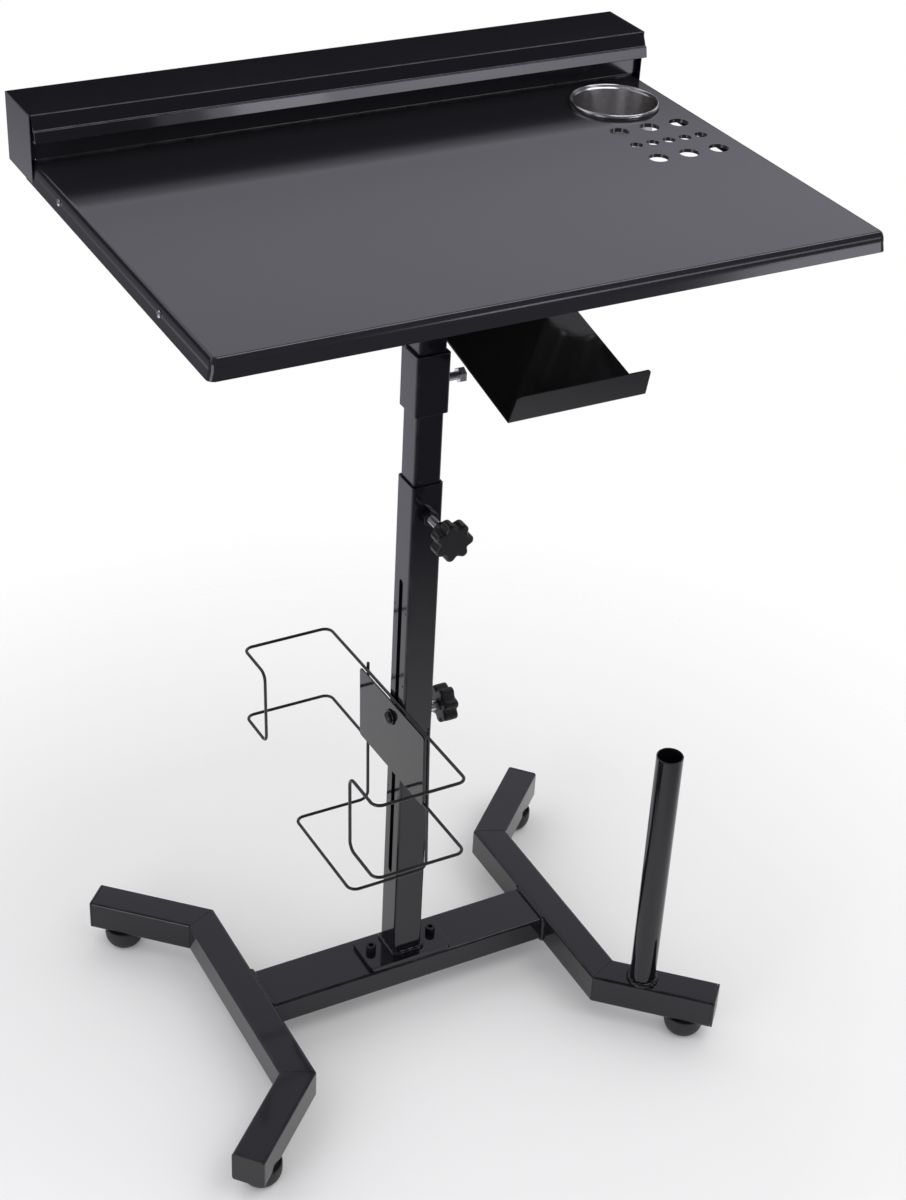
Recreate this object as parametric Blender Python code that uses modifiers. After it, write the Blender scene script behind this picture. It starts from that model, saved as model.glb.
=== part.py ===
"""Tattoo workstation: a sheet-metal tray on a telescoping square column with an H-shaped base.

Metres, +Z up. The floor is z = 0 and the user stands on the -Y side. The origin is under the middle of
the whole, and every piece is placed from the column's axis, which stands a little behind the origin.
"""
import math

import bmesh
import bpy
from mathutils import Matrix, Vector

# Clearances
FIT_GAP = 0.0003          # between pieces that touch
SLIDE_GAP = 0.0005        # each side, between tubes that telescope
SCREW_GAP = 0.0003        # radial, between a screw and its hole

# Feet and legs
FOOT_DIAMETER = 0.041
FOOT_HEIGHT = 0.023
FOOT_CONTACT_DIAMETER = 0.024
FOOT_STEM_DIAMETER = 0.010
FOOT_STEM_LENGTH = 0.012
FOOT_FROM_ARM_END = 0.032
LEG_SIZE = 0.034
LEG_WALL = 0.0015
TUBE_CORNER = 0.003       # outer corner radius of every square tube
LEG_CENTRE_X = 0.176
LEG_BEND_Y = 0.125
LEG_SPLAY = math.radians(47)
ARM_LENGTH = 0.122        # from the bend to the end of the plug
PLUG_FLANGE = 0.0025
PLUG_DEPTH = 0.012

# Cross beam and the column's base plate
BEAM_WIDTH = 0.057
BEAM_HEIGHT = 0.028
BEAM_WALL = 0.0015
BASE_PLATE_LENGTH = 0.094
BASE_PLATE_WIDTH = 0.054
BASE_PLATE_THICKNESS = 0.005
BASE_PLATE_CORNER = 0.009
BASE_BOLT_SPACING = 0.070
BASE_BOLT_DIAMETER = 0.006
BASE_BOLT_HEAD_DIAMETER = 0.0105
BASE_BOLT_HEAD_HEIGHT = 0.0075
BASE_BOLT_SOCKET = 0.005
BASE_BOLT_SOCKET_DEPTH = 0.0035
BASE_NUT_SIZE = 0.010
BASE_NUT_THICKNESS = 0.005

# Column, mast and sleeve
COLUMN_SIZE = 0.032
COLUMN_WALL = 0.0015
COLUMN_LENGTH = 0.567
SLOT_WIDTH = 0.0075
SLOT_LENGTH = 0.358
SLOT_BELOW_COLUMN_TOP = 0.107
MAST_WALL = 0.0015
MAST_LENGTH = 0.478
MAST_EXPOSED = 0.073      # bare mast between the column's top and the sleeve
MAST_IN_SLEEVE = 0.025
MAST_SLOT_MARGIN = 0.074  # how far the mast's slot runs on above the column's slot
SLEEVE_WALL = 0.0025
SLEEVE_LENGTH = 0.060
CLAMP_BOLT_DIAMETER = 0.008
CLAMP_BOLT_HEAD_SIZE = 0.013
CLAMP_BOLT_HEAD_HEIGHT = 0.0065
CLAMP_BOLT_EXPOSED = 0.016
CLAMP_BOLT_BELOW_SLEEVE_TOP = 0.034

# Height clamp: weld nut, screw and star knob on the column's front
HEIGHT_SCREW_BELOW_COLUMN_TOP = 0.031
HEIGHT_SCREW_DIAMETER = 0.008
HEIGHT_SCREW_EXPOSED = 0.019
HEIGHT_NUT_SIZE = 0.014
HEIGHT_NUT_THICKNESS = 0.008
KNOB_DIAMETER = 0.039
KNOB_LOBES = 7
KNOB_LOBE_DEPTH = 0.0045
KNOB_THICKNESS = 0.015
KNOB_SOCKET = 0.012       # how deep a screw goes into a knob
KNOB_HUB_DIAMETER = 0.017
KNOB_HUB_LENGTH = 0.013

# Roll post on the right front arm
POST_DIAMETER = 0.027
POST_WALL = 0.0015
POST_LENGTH = 0.291
POST_FROM_BEND = 0.042

# Tray, riser box and their sheet
SHEET = 0.0012
TRAY_WIDTH = 0.600
TRAY_DEPTH = 0.396        # front skirt to the riser's wall
STEM_FROM_FRONT = 0.235   # front skirt to the column's axis
SKIRT_HEIGHT = 0.0175
HEM_RADIUS = 0.005
STEM_LENGTH = 0.1869
STEM_WALL = 0.0015
STEM_PLATE_LENGTH = 0.150
STEM_PLATE_WIDTH = 0.110
STEM_PLATE_THICKNESS = 0.003
STEM_PLATE_CORNER = 0.012
STUD_FROM_PLATE_EDGE = 0.015
STUD_DIAMETER = 0.005
STUD_NUT_SIZE = 0.008
STUD_NUT_THICKNESS = 0.004
STUD_PAST_NUT = 0.0015
RISER_HEIGHT = 0.044      # above the tray's top
RISER_BEHIND_WALL = 0.056
RISER_OVERHANG = 0.007    # riser's top in front of the wall
FASCIA_DROP = 0.012
FASCIA_LEAN = 0.006
LIP_STEP = 0.004
LIP_HEIGHT = 0.010
LIP_RETURN = 0.007
END_PLATE_FRONT_INSET = 0.001

# Rinse cup and the ink-cup holes
CUP_RIM_DIAMETER = 0.084
CUP_TOP_DIAMETER = 0.076
CUP_BOTTOM_DIAMETER = 0.066
CUP_DEPTH = 0.075
CUP_WALL = 0.001
CUP_BASE_FILLET = 0.006
CUP_FROM_RIGHT = 0.0605
CUP_FROM_WALL = 0.060     # far enough for the rim to rise past the riser's lip
LARGE_HOLE_DIAMETER = 0.018
LARGE_HOLE_SPACING = 0.0315
LARGE_HOLES_PER_ROW = 3
SMALL_HOLE_DIAMETER = 0.0115
SMALL_HOLE_SPACING = 0.017
SMALL_HOLES_PER_ROW = 5
HOLE_ROWS_FROM_CUP = 0.062
HOLE_ROW_SPACING = 0.033

# Power-supply shelf
SHELF_SHEET = 0.0015
SHELF_WIDTH = 0.140
SHELF_LEFT_X = 0.035
SHELF_FRONT_Y = -0.092
SHELF_DROP = 0.195        # tray top to the shelf's front bend
SHELF_LENGTH = 0.165
SHELF_SLOPE = math.radians(11.8)
SHELF_LIP = 0.028
SHELF_FLANGE = 0.025
SHELF_STUD_FROM_EDGE = 0.020

# Wire rack on the column's left
WIRE_DIAMETER = 0.0032
WIRE_BEND_RADIUS = 0.009
RACK_BOLT_BELOW_COLUMN_TOP = 0.266
RACK_TILT = math.radians(2.9)   # the rack leans on its one bolt, lower at the back
RACK_PLATE_LENGTH = 0.140
RACK_PLATE_HEIGHT = 0.080
RACK_PLATE_THICKNESS = 0.002
RACK_BOLT_BELOW_PLATE_TOP = 0.0175
RACK_BOLT_DIAMETER = 0.006
RACK_BOLT_HEAD_DIAMETER = 0.012
RACK_BOLT_HEAD_HEIGHT = 0.0045
RACK_WASHER_DIAMETER = 0.0165
RACK_WASHER_THICKNESS = 0.0015
HOLDER_LENGTH = 0.302
HOLDER_REACH = 0.095
HOLDER_RETURN = 0.053
HOLDER_WIRE_PAST_PLATE = 0.001   # a wire's centre beyond the plate's edge
BOTTLE_SHELF_LENGTH = 0.132
BOTTLE_SHELF_REACH = 0.0825
BOTTLE_SHELF_DROP = 0.1605
BOTTLE_SHELF_NUB = 0.006
RACK_HUB_DIAMETER = 0.012
RACK_HUB_FLANGE_DIAMETER = 0.016
RACK_HUB_FLANGE = 0.002
RACK_HUB_LENGTH = 0.013

# Facets
ROUND_STEPS = 16
POST_STEPS = 24
CUP_STEPS = 32
CORNER_STEPS = 3
BEND_STEPS = 3
LOBE_STEPS = 6
CHAMFER = 0.0006

# Heights that follow from the sizes above
LEG_BOTTOM = FOOT_HEIGHT + FIT_GAP
LEG_MIDDLE = LEG_BOTTOM + LEG_SIZE / 2
LEG_TOP = LEG_BOTTOM + LEG_SIZE
BEAM_TOP = LEG_MIDDLE + BEAM_HEIGHT / 2
BASE_PLATE_BOTTOM = BEAM_TOP + FIT_GAP
BASE_PLATE_TOP = BASE_PLATE_BOTTOM + BASE_PLATE_THICKNESS
COLUMN_BOTTOM = BASE_PLATE_TOP + FIT_GAP
COLUMN_TOP = COLUMN_BOTTOM + COLUMN_LENGTH
SLOT_TOP = COLUMN_TOP - SLOT_BELOW_COLUMN_TOP
HEIGHT_SCREW_Z = COLUMN_TOP - HEIGHT_SCREW_BELOW_COLUMN_TOP
RACK_BOLT_Z = COLUMN_TOP - RACK_BOLT_BELOW_COLUMN_TOP
SLEEVE_BOTTOM = COLUMN_TOP + MAST_EXPOSED
SLEEVE_TOP = SLEEVE_BOTTOM + SLEEVE_LENGTH
MAST_TOP = SLEEVE_BOTTOM + MAST_IN_SLEEVE
STEM_BOTTOM = MAST_TOP + FIT_GAP
STEM_TOP = STEM_BOTTOM + STEM_LENGTH
STEM_PLATE_BOTTOM = STEM_TOP + FIT_GAP
TRAY_UNDERSIDE = STEM_PLATE_BOTTOM + STEM_PLATE_THICKNESS + FIT_GAP
TRAY_TOP = TRAY_UNDERSIDE + SHEET
RISER_TOP = TRAY_TOP + RISER_HEIGHT
SKIRT_BOTTOM = TRAY_TOP - SKIRT_HEIGHT

# Widths and places that follow from the sizes above
MAST_SIZE = COLUMN_SIZE - 2 * COLUMN_WALL - 2 * SLIDE_GAP
SLEEVE_SIZE = MAST_SIZE + 2 * SLIDE_GAP + 2 * SLEEVE_WALL
TRAY_FRONT_Y = -STEM_FROM_FRONT
WALL_Y = TRAY_FRONT_Y + TRAY_DEPTH
RISER_BACK_Y = WALL_Y + RISER_BEHIND_WALL
CUP_X = TRAY_WIDTH / 2 - CUP_FROM_RIGHT
CUP_Y = WALL_Y - CUP_FROM_WALL
SHELF_REAR_Y = SHELF_FRONT_Y + SHELF_LENGTH * math.cos(SHELF_SLOPE)
SHELF_MIDDLE_X = SHELF_LEFT_X + SHELF_WIDTH / 2
LEG_REACH = LEG_BEND_Y + ARM_LENGTH * math.cos(LEG_SPLAY) + LEG_SIZE / 2 * math.sin(LEG_SPLAY)
COLUMN_Y = (max(STEM_FROM_FRONT, LEG_REACH) - max(RISER_BACK_Y, LEG_REACH)) / 2

# Turns that carry a piece's own Z axis to where it points
UPRIGHT = Matrix.Identity(3)
TO_RIGHT = Matrix(((0, 0, 1), (1, 0, 0), (0, 1, 0)))     # own x, y, z lie along +Y, +Z, +X
TO_FRONT = Matrix(((1, 0, 0), (0, 0, -1), (0, 1, 0)))    # own x, y, z lie along +X, +Z, -Y

for old in list(bpy.data.objects):
    bpy.data.objects.remove(old)
PARTS = bpy.data.collections.new("tattoo_workstation")
CUTTERS = bpy.data.collections.new("cutters")
bpy.context.scene.collection.children.link(PARTS)
bpy.context.scene.collection.children.link(CUTTERS)


def finish(name, colour, roughness, metallic):
    """A Principled material."""
    material = bpy.data.materials.new(name)
    material.use_nodes = True
    shader = material.node_tree.nodes["Principled BSDF"]
    shader.inputs["Base Color"].default_value = (*colour, 1.0)
    shader.inputs["Roughness"].default_value = roughness
    shader.inputs["Metallic"].default_value = metallic
    return material


GLOSS_BLACK = finish("gloss_black_paint", (0.012, 0.012, 0.014), 0.22, 0.0)
WIRE_BLACK = finish("black_wire_coating", (0.010, 0.010, 0.010), 0.40, 0.0)
BLACK_PLASTIC = finish("black_plastic", (0.015, 0.015, 0.015), 0.45, 0.0)
BLACK_RUBBER = finish("black_rubber", (0.018, 0.018, 0.018), 0.80, 0.0)
BLACK_OXIDE = finish("black_oxide_steel", (0.020, 0.020, 0.022), 0.40, 0.8)
BRIGHT_ZINC = finish("bright_zinc_steel", (0.70, 0.71, 0.72), 0.30, 1.0)
STAINLESS = finish("stainless_steel", (0.62, 0.61, 0.59), 0.28, 1.0)


def joint_empty(name, place, parent=None):
    """An empty on a joint's axis, which carries the pieces that move with it."""
    empty = bpy.data.objects.new(name, None)
    empty.location = place
    empty.parent = parent
    PARTS.objects.link(empty)
    return empty


COLUMN_AXIS = joint_empty("column_axis", (0, COLUMN_Y, 0))


def put(name, mesh, material, place=(0, 0, 0), turn=UPRIGHT, parent=COLUMN_AXIS):
    """A named piece at its place in its parent's frame."""
    piece = bpy.data.objects.new(name, mesh)
    piece.matrix_basis = Matrix.Translation(place) @ turn.to_4x4()
    piece.parent = parent
    mesh.materials.append(material)
    PARTS.objects.link(piece)
    return piece


def tool(name, mesh, place=(0, 0, 0), turn=UPRIGHT, parent=COLUMN_AXIS):
    """A hidden solid that cuts a piece or is joined to it."""
    solid = bpy.data.objects.new(name, mesh)
    solid.matrix_basis = Matrix.Translation(place) @ turn.to_4x4()
    solid.parent = parent
    solid.hide_render = True
    solid.display_type = "WIRE"
    CUTTERS.objects.link(solid)
    return solid


def combine(piece, solid, operation="DIFFERENCE"):
    """Cuts a hidden solid out of a piece, or joins it with UNION."""
    modifier = piece.modifiers.new(solid.name, "BOOLEAN")
    modifier.operation = operation
    modifier.object = solid


def outline_mesh(name, outlines, depth):
    """Flat closed outlines, the outer one first and then its holes, extruded evenly about z = 0."""
    curve = bpy.data.curves.new(name, "CURVE")
    curve.dimensions = "2D"
    curve.fill_mode = "BOTH"
    curve.extrude = depth / 2
    for points in outlines:
        spline = curve.splines.new("POLY")
        spline.points.add(len(points) - 1)
        for point, (x, y) in zip(spline.points, points):
            point.co = (x, y, 0, 1)
        spline.use_cyclic_u = True
    source = bpy.data.objects.new(name, curve)
    PARTS.objects.link(source)
    graph = bpy.context.evaluated_depsgraph_get()
    mesh = bpy.data.meshes.new_from_object(source.evaluated_get(graph))
    bpy.data.objects.remove(source)
    shape = bmesh.new()
    shape.from_mesh(mesh)
    bmesh.ops.remove_doubles(shape, verts=shape.verts, dist=0.00001)
    bmesh.ops.recalc_face_normals(shape, faces=shape.faces)
    shape.to_mesh(mesh)
    shape.free()
    mesh.materials.clear()
    mesh.shade_smooth()
    mesh.set_sharp_from_angle(angle=math.radians(35))
    return mesh


def box_mesh(name, size):
    """A box centred on its origin."""
    mesh = bpy.data.meshes.new(name)
    shape = bmesh.new()
    bmesh.ops.create_cube(shape, size=1.0, matrix=Matrix.Diagonal((*size, 1.0)))
    shape.to_mesh(mesh)
    shape.free()
    return mesh


def rod_mesh(name, radius, length, steps=ROUND_STEPS):
    """A plain cylinder about Z, centred on its origin."""
    mesh = bpy.data.meshes.new(name)
    shape = bmesh.new()
    bmesh.ops.create_cone(shape, cap_ends=True, segments=steps, radius1=radius, radius2=radius, depth=length)
    shape.to_mesh(mesh)
    shape.free()
    return mesh


def turned(name, profile, material, place=(0, 0, 0), turn=UPRIGHT, parent=COLUMN_AXIS,
           steps=ROUND_STEPS, ring=False):
    """A profile of (radius, height) points, run down its outer side and swept round Z."""
    mesh = bpy.data.meshes.new(name)
    shape = bmesh.new()
    points = [shape.verts.new((radius, 0, height)) for radius, height in profile]
    pairs = list(zip(points, points[1:]))
    if ring:
        pairs.append((points[-1], points[0]))
    for start, end in pairs:
        shape.edges.new((start, end))
    shape.to_mesh(mesh)
    shape.free()
    piece = put(name, mesh, material, place, turn, parent)
    screw = piece.modifiers.new("sweep", "SCREW")
    screw.steps = steps
    screw.render_steps = steps
    screw.use_merge_vertices = True
    screw.merge_threshold = 0.00001
    screw.use_smooth_shade = True
    return piece


def circle(radius, centre=(0, 0), steps=ROUND_STEPS):
    """Points round a circle."""
    angles = [2 * math.pi * step / steps for step in range(steps)]
    return [(centre[0] + radius * math.cos(angle), centre[1] + radius * math.sin(angle)) for angle in angles]


def hexagon(size):
    """A hexagon given its size across flats."""
    return circle(size / math.sqrt(3), steps=6)


def rounded_rectangle(width, height, radius):
    """A rectangle about the origin with rounded corners."""
    points = []
    for quarter, (sx, sy) in enumerate(((1, 1), (-1, 1), (-1, -1), (1, -1))):
        middle = (sx * (width / 2 - radius), sy * (height / 2 - radius))
        for step in range(CORNER_STEPS + 1):
            angle = math.pi / 2 * (quarter + step / CORNER_STEPS)
            points.append((middle[0] + radius * math.cos(angle), middle[1] + radius * math.sin(angle)))
    return points


def stadium(width, length):
    """A slot's outline along y, with round ends."""
    half = length / 2 - width / 2
    steps = ROUND_STEPS // 2
    points = []
    for end in (0, 1):
        for step in range(steps + 1):
            angle = math.pi * (end + step / steps)
            y = half * (1 - 2 * end) + width / 2 * math.sin(angle)
            points.append((width / 2 * math.cos(angle), y))
    return points


def tube_mesh(name, width, height, wall, length):
    """A rectangular tube along z, open at both ends, with a ring of four-sided faces at each end."""
    outer = rounded_rectangle(width, height, TUBE_CORNER)
    inner = rounded_rectangle(width - 2 * wall, height - 2 * wall, max(TUBE_CORNER - wall, FIT_GAP))
    shape = bmesh.new()
    rings = []
    for points, z in ((outer, -1), (outer, 1), (inner, 1), (inner, -1)):
        rings.append([shape.verts.new((x, y, z * length / 2)) for x, y in points])
    for index, ring in enumerate(rings):
        following = rings[(index + 1) % len(rings)]
        for near in range(len(ring)):
            far = (near + 1) % len(ring)
            shape.faces.new((ring[near], ring[far], following[far], following[near]))
    bmesh.ops.recalc_face_normals(shape, faces=shape.faces)
    mesh = bpy.data.meshes.new(name)
    shape.to_mesh(mesh)
    shape.free()
    mesh.shade_smooth()
    mesh.set_sharp_from_angle(angle=math.radians(35))
    return mesh


def folded_sheet(points, thickness):
    """The closed outline of a folded sheet, from one face's points and the thickness to their left."""
    path = [Vector(point) for point in points]
    other = []
    for index, point in enumerate(path):
        before = path[max(index - 1, 0)]
        after = path[min(index + 1, len(path) - 1)]
        ahead = (after - point).normalized() if after != point else (point - before).normalized()
        behind = (point - before).normalized() if before != point else ahead
        normal = Vector((-ahead.y - behind.y, ahead.x + behind.x)).normalized()
        spread = normal.dot(Vector((-ahead.y, ahead.x)))
        other.append(point + normal * thickness / spread)
    return [tuple(point) for point in path] + [tuple(point) for point in reversed(other)]


def rounded_path(corners, radius, closed):
    """Points along straight runs between corners, with each bend an arc of the radius."""
    points = []
    count = len(corners)
    for index, corner in enumerate(corners):
        if not closed and index in (0, count - 1):
            points.append(corner)
            continue
        arriving = (corners[index - 1] - corner).normalized()
        leaving = (corners[(index + 1) % count] - corner).normalized()
        half = arriving.angle(leaving) / 2
        setback = radius / math.tan(half)
        middle = corner + (arriving + leaving).normalized() * radius / math.sin(half)
        start = corner + arriving * setback - middle
        end = corner + leaving * setback - middle
        for step in range(BEND_STEPS + 1):
            outward = start.slerp(end, step / BEND_STEPS).normalized()
            points.append(middle + outward * radius)
    return points


def wire(name, corners, closed, parent):
    """A bent wire through the corners."""
    curve = bpy.data.curves.new(name, "CURVE")
    curve.dimensions = "3D"
    curve.bevel_depth = WIRE_DIAMETER / 2
    curve.bevel_resolution = 1
    curve.use_fill_caps = True
    points = rounded_path([Vector(corner) for corner in corners], WIRE_BEND_RADIUS, closed)
    spline = curve.splines.new("POLY")
    spline.points.add(len(points) - 1)
    for point, place in zip(spline.points, points):
        point.co = (*place, 1)
    spline.use_cyclic_u = closed
    curve.materials.append(WIRE_BLACK)
    piece = bpy.data.objects.new(name, curve)
    piece.parent = parent
    PARTS.objects.link(piece)
    return piece


def nut(name, size, thickness, screw_diameter, material, place, turn=UPRIGHT, parent=COLUMN_AXIS):
    """A hexagon nut centred on its place."""
    mesh = outline_mesh(name, [hexagon(size), circle(screw_diameter / 2 + SCREW_GAP)], thickness)
    return put(name, mesh, material, place, turn, parent)


def slant_end(mesh, end, slope):
    """Slants one end of a tube along z, so that two tubes meet in a mitre."""
    for vertex in mesh.vertices:
        if vertex.co.z * end > 0:
            vertex.co.z += slope * vertex.co.x
    mesh.update()


def along(direction):
    """The turn that lays a tube's own z along a level direction, with its own y up."""
    up = Vector((0, 0, 1))
    columns = (up.cross(direction), up, direction)
    return Matrix(columns).transposed()


def arm_direction(side, end):
    """Level direction of a splayed arm: side -1 left or 1 right, end -1 front or 1 back."""
    return Vector((side * math.sin(LEG_SPLAY), end * math.cos(LEG_SPLAY), 0))


def arm_point(side, end, distance, height):
    """A point above an arm's middle line, at a distance from the bend."""
    bend = Vector((side * LEG_CENTRE_X, end * LEG_BEND_Y, height))
    return bend + arm_direction(side, end) * distance


def leg(side, side_name):
    """One leg: a middle tube and two splayed arms, mitred, with their plugs and feet."""
    mitre = math.tan(LEG_SPLAY / 2)
    middle = tube_mesh(f"{side_name}_leg_tube", LEG_SIZE, LEG_SIZE, LEG_WALL, 2 * LEG_BEND_Y - FIT_GAP)
    slant_end(middle, 1, side * mitre)
    slant_end(middle, -1, -side * mitre)
    place = (side * LEG_CENTRE_X, 0, LEG_MIDDLE)
    put(f"{side_name}_leg_tube", middle, GLOSS_BLACK, place, along(Vector((0, 1, 0))))
    for end, end_name in ((-1, "front"), (1, "back")):
        arm(side, end, f"{side_name}_{end_name}")


def arm(side, end, corner):
    """A splayed arm with the plug in its end and the foot under it."""
    turn = along(arm_direction(side, end))
    length = ARM_LENGTH - PLUG_FLANGE - FIT_GAP - FIT_GAP / 2
    tube = tube_mesh(f"{corner}_arm", LEG_SIZE, LEG_SIZE, LEG_WALL, length)
    slant_end(tube, -1, -side * end * math.tan(LEG_SPLAY / 2))
    piece = put(f"{corner}_arm", tube, GLOSS_BLACK,
                arm_point(side, end, FIT_GAP / 2 + length / 2, LEG_MIDDLE), turn)
    foot_place = arm_point(side, end, ARM_LENGTH - FOOT_FROM_ARM_END, 0)
    stem_hole = rod_mesh(f"{corner}_foot_hole", FOOT_STEM_DIAMETER / 2 + FIT_GAP, LEG_SIZE)
    combine(piece, tool(f"{corner}_foot_hole", stem_hole, foot_place + Vector((0, 0, LEG_BOTTOM))))
    plug(f"{corner}_plug", arm_point(side, end, ARM_LENGTH, LEG_MIDDLE), turn)
    foot(f"{corner}_foot", foot_place)


def plug(name, place, turn):
    """A square end plug: a flange over the tube's end and a shank inside it."""
    mesh = bpy.data.meshes.new(name)
    shape = bmesh.new()
    flange = Matrix.Diagonal((LEG_SIZE, LEG_SIZE, PLUG_FLANGE, 1.0))
    bmesh.ops.create_cube(shape, size=1.0, matrix=Matrix.Translation((0, 0, -PLUG_FLANGE / 2)) @ flange)
    corners = [edge for edge in shape.edges
               if abs(edge.verts[0].co.z - edge.verts[1].co.z) > PLUG_FLANGE / 2]
    bmesh.ops.bevel(shape, geom=corners, offset=TUBE_CORNER, segments=CORNER_STEPS, profile=0.5,
                    affect="EDGES")
    shape.normal_update()
    back = min(shape.faces, key=lambda face: face.normal.z)
    bmesh.ops.inset_individual(shape, faces=[back], thickness=LEG_WALL + FIT_GAP)
    shank = bmesh.ops.extrude_discrete_faces(shape, faces=[back])["faces"][0]
    bmesh.ops.translate(shape, verts=shank.verts, vec=(0, 0, -FIT_GAP - PLUG_DEPTH))
    shape.to_mesh(mesh)
    shape.free()
    put(name, mesh, BLACK_PLASTIC, place, turn)


def foot(name, place):
    """A round rubber foot with a bowl-shaped underside and a stem pressed into the arm."""
    radius = FOOT_DIAMETER / 2
    contact = FOOT_CONTACT_DIAMETER / 2
    stem_top = LEG_BOTTOM + FOOT_STEM_LENGTH
    profile = [(0, stem_top), (FOOT_STEM_DIAMETER / 2, stem_top), (FOOT_STEM_DIAMETER / 2, FOOT_HEIGHT)]
    profile.append((radius - CHAMFER, FOOT_HEIGHT))
    shoulder = FOOT_HEIGHT * 0.8
    for step in range(CORNER_STEPS + 2):
        angle = math.pi / 2 * step / (CORNER_STEPS + 1)
        profile.append((contact + (radius - contact) * math.cos(angle), shoulder * (1 - math.sin(angle))))
    profile.append((0, 0))
    turned(name, profile, BLACK_RUBBER, place)


def beam():
    """The cross beam between the legs, bored for the base plate's bolts."""
    length = 2 * (LEG_CENTRE_X - LEG_SIZE / 2 - FIT_GAP)
    mesh = tube_mesh("cross_beam", BEAM_WIDTH, BEAM_HEIGHT, BEAM_WALL, length)
    piece = put("cross_beam", mesh, GLOSS_BLACK, (0, 0, LEG_MIDDLE), TO_RIGHT)
    for side, side_name in ((-1, "left"), (1, "right")):
        hole = rod_mesh(f"{side_name}_beam_hole", BASE_BOLT_DIAMETER / 2 + SCREW_GAP, BEAM_HEIGHT)
        combine(piece, tool(f"{side_name}_beam_hole", hole, (side * BASE_BOLT_SPACING / 2, 0, BEAM_TOP)))


def base_plate():
    """The column's base plate with its two socket bolts and the nuts inside the beam."""
    hole = BASE_BOLT_DIAMETER / 2 + SCREW_GAP
    outlines = [rounded_rectangle(BASE_PLATE_LENGTH, BASE_PLATE_WIDTH, BASE_PLATE_CORNER)]
    for side in (-1, 1):
        outlines.append(circle(hole, (side * BASE_BOLT_SPACING / 2, 0)))
    mesh = outline_mesh("base_plate", outlines, BASE_PLATE_THICKNESS)
    put("base_plate", mesh, GLOSS_BLACK, (0, 0, BASE_PLATE_BOTTOM + BASE_PLATE_THICKNESS / 2))
    nut_top = BEAM_TOP - BEAM_WALL - FIT_GAP
    for side, side_name in ((-1, "left"), (1, "right")):
        x = side * BASE_BOLT_SPACING / 2
        socket_bolt(f"{side_name}_base_bolt", (x, 0, BASE_PLATE_TOP + FIT_GAP), nut_top - BASE_NUT_THICKNESS)
        nut(f"{side_name}_base_nut", BASE_NUT_SIZE, BASE_NUT_THICKNESS, BASE_BOLT_DIAMETER, BLACK_OXIDE,
            (x, 0, nut_top - BASE_NUT_THICKNESS / 2))


def socket_bolt(name, place, shank_end):
    """A socket-head bolt whose head stands at its place and whose shank runs down to a height."""
    head = BASE_BOLT_HEAD_DIAMETER / 2
    shank = BASE_BOLT_DIAMETER / 2
    end = shank_end - place[2]
    profile = [(0, BASE_BOLT_HEAD_HEIGHT), (head - CHAMFER, BASE_BOLT_HEAD_HEIGHT),
               (head, BASE_BOLT_HEAD_HEIGHT - CHAMFER), (head, 0), (shank, 0), (shank, end), (0, end)]
    piece = turned(name, profile, BLACK_OXIDE, place)
    socket = outline_mesh(f"{name}_socket", [hexagon(BASE_BOLT_SOCKET)], 2 * BASE_BOLT_SOCKET_DEPTH)
    top = Vector(place) + Vector((0, 0, BASE_BOLT_HEAD_HEIGHT))
    combine(piece, tool(f"{name}_socket", socket, top))


def column():
    """The outer column: slotted left and right for the rack, bored in front for the height screw."""
    mesh = tube_mesh("column", COLUMN_SIZE, COLUMN_SIZE, COLUMN_WALL, COLUMN_LENGTH)
    piece = put("column", mesh, GLOSS_BLACK, (0, 0, COLUMN_BOTTOM + COLUMN_LENGTH / 2))
    slot = outline_mesh("rack_slot", [stadium(SLOT_WIDTH, SLOT_LENGTH)], 2 * COLUMN_SIZE)
    combine(piece, tool("rack_slot", slot, (0, 0, SLOT_TOP - SLOT_LENGTH / 2), TO_RIGHT))
    hole = rod_mesh("height_screw_hole", HEIGHT_SCREW_DIAMETER / 2 + SCREW_GAP, COLUMN_SIZE)
    combine(piece, tool("height_screw_hole", hole, (0, -COLUMN_SIZE / 2, HEIGHT_SCREW_Z), TO_FRONT))


def star_outline():
    """The lobed outline of a star knob."""
    points = []
    count = KNOB_LOBES * LOBE_STEPS
    for step in range(count):
        angle = 2 * math.pi * step / count
        dip = (0.5 - 0.5 * math.cos(KNOB_LOBES * angle)) ** 1.5
        radius = KNOB_DIAMETER / 2 - KNOB_LOBE_DEPTH * dip
        points.append((radius * math.cos(angle), radius * math.sin(angle)))
    return points


def star_knob(name, screw_diameter, hub_length, place, turn, parent):
    """A star knob whose screw socket opens at its place, with its star beyond a hub of the length."""
    star = outline_mesh(name, [star_outline()], KNOB_THICKNESS)
    star.transform(Matrix.Translation((0, 0, hub_length + KNOB_THICKNESS / 2)))
    piece = put(name, star, BLACK_PLASTIC, place, turn, parent)
    if hub_length > 0:
        hub = rod_mesh(f"{name}_hub", KNOB_HUB_DIAMETER / 2, hub_length + KNOB_THICKNESS / 2)
        hub.transform(Matrix.Translation((0, 0, (hub_length + KNOB_THICKNESS / 2) / 2)))
        combine(piece, tool(f"{name}_hub", hub, place, turn, parent), "UNION")
    socket = rod_mesh(f"{name}_socket", screw_diameter / 2 + SCREW_GAP, 2 * KNOB_SOCKET)
    combine(piece, tool(f"{name}_socket", socket, place, turn, parent))


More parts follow.
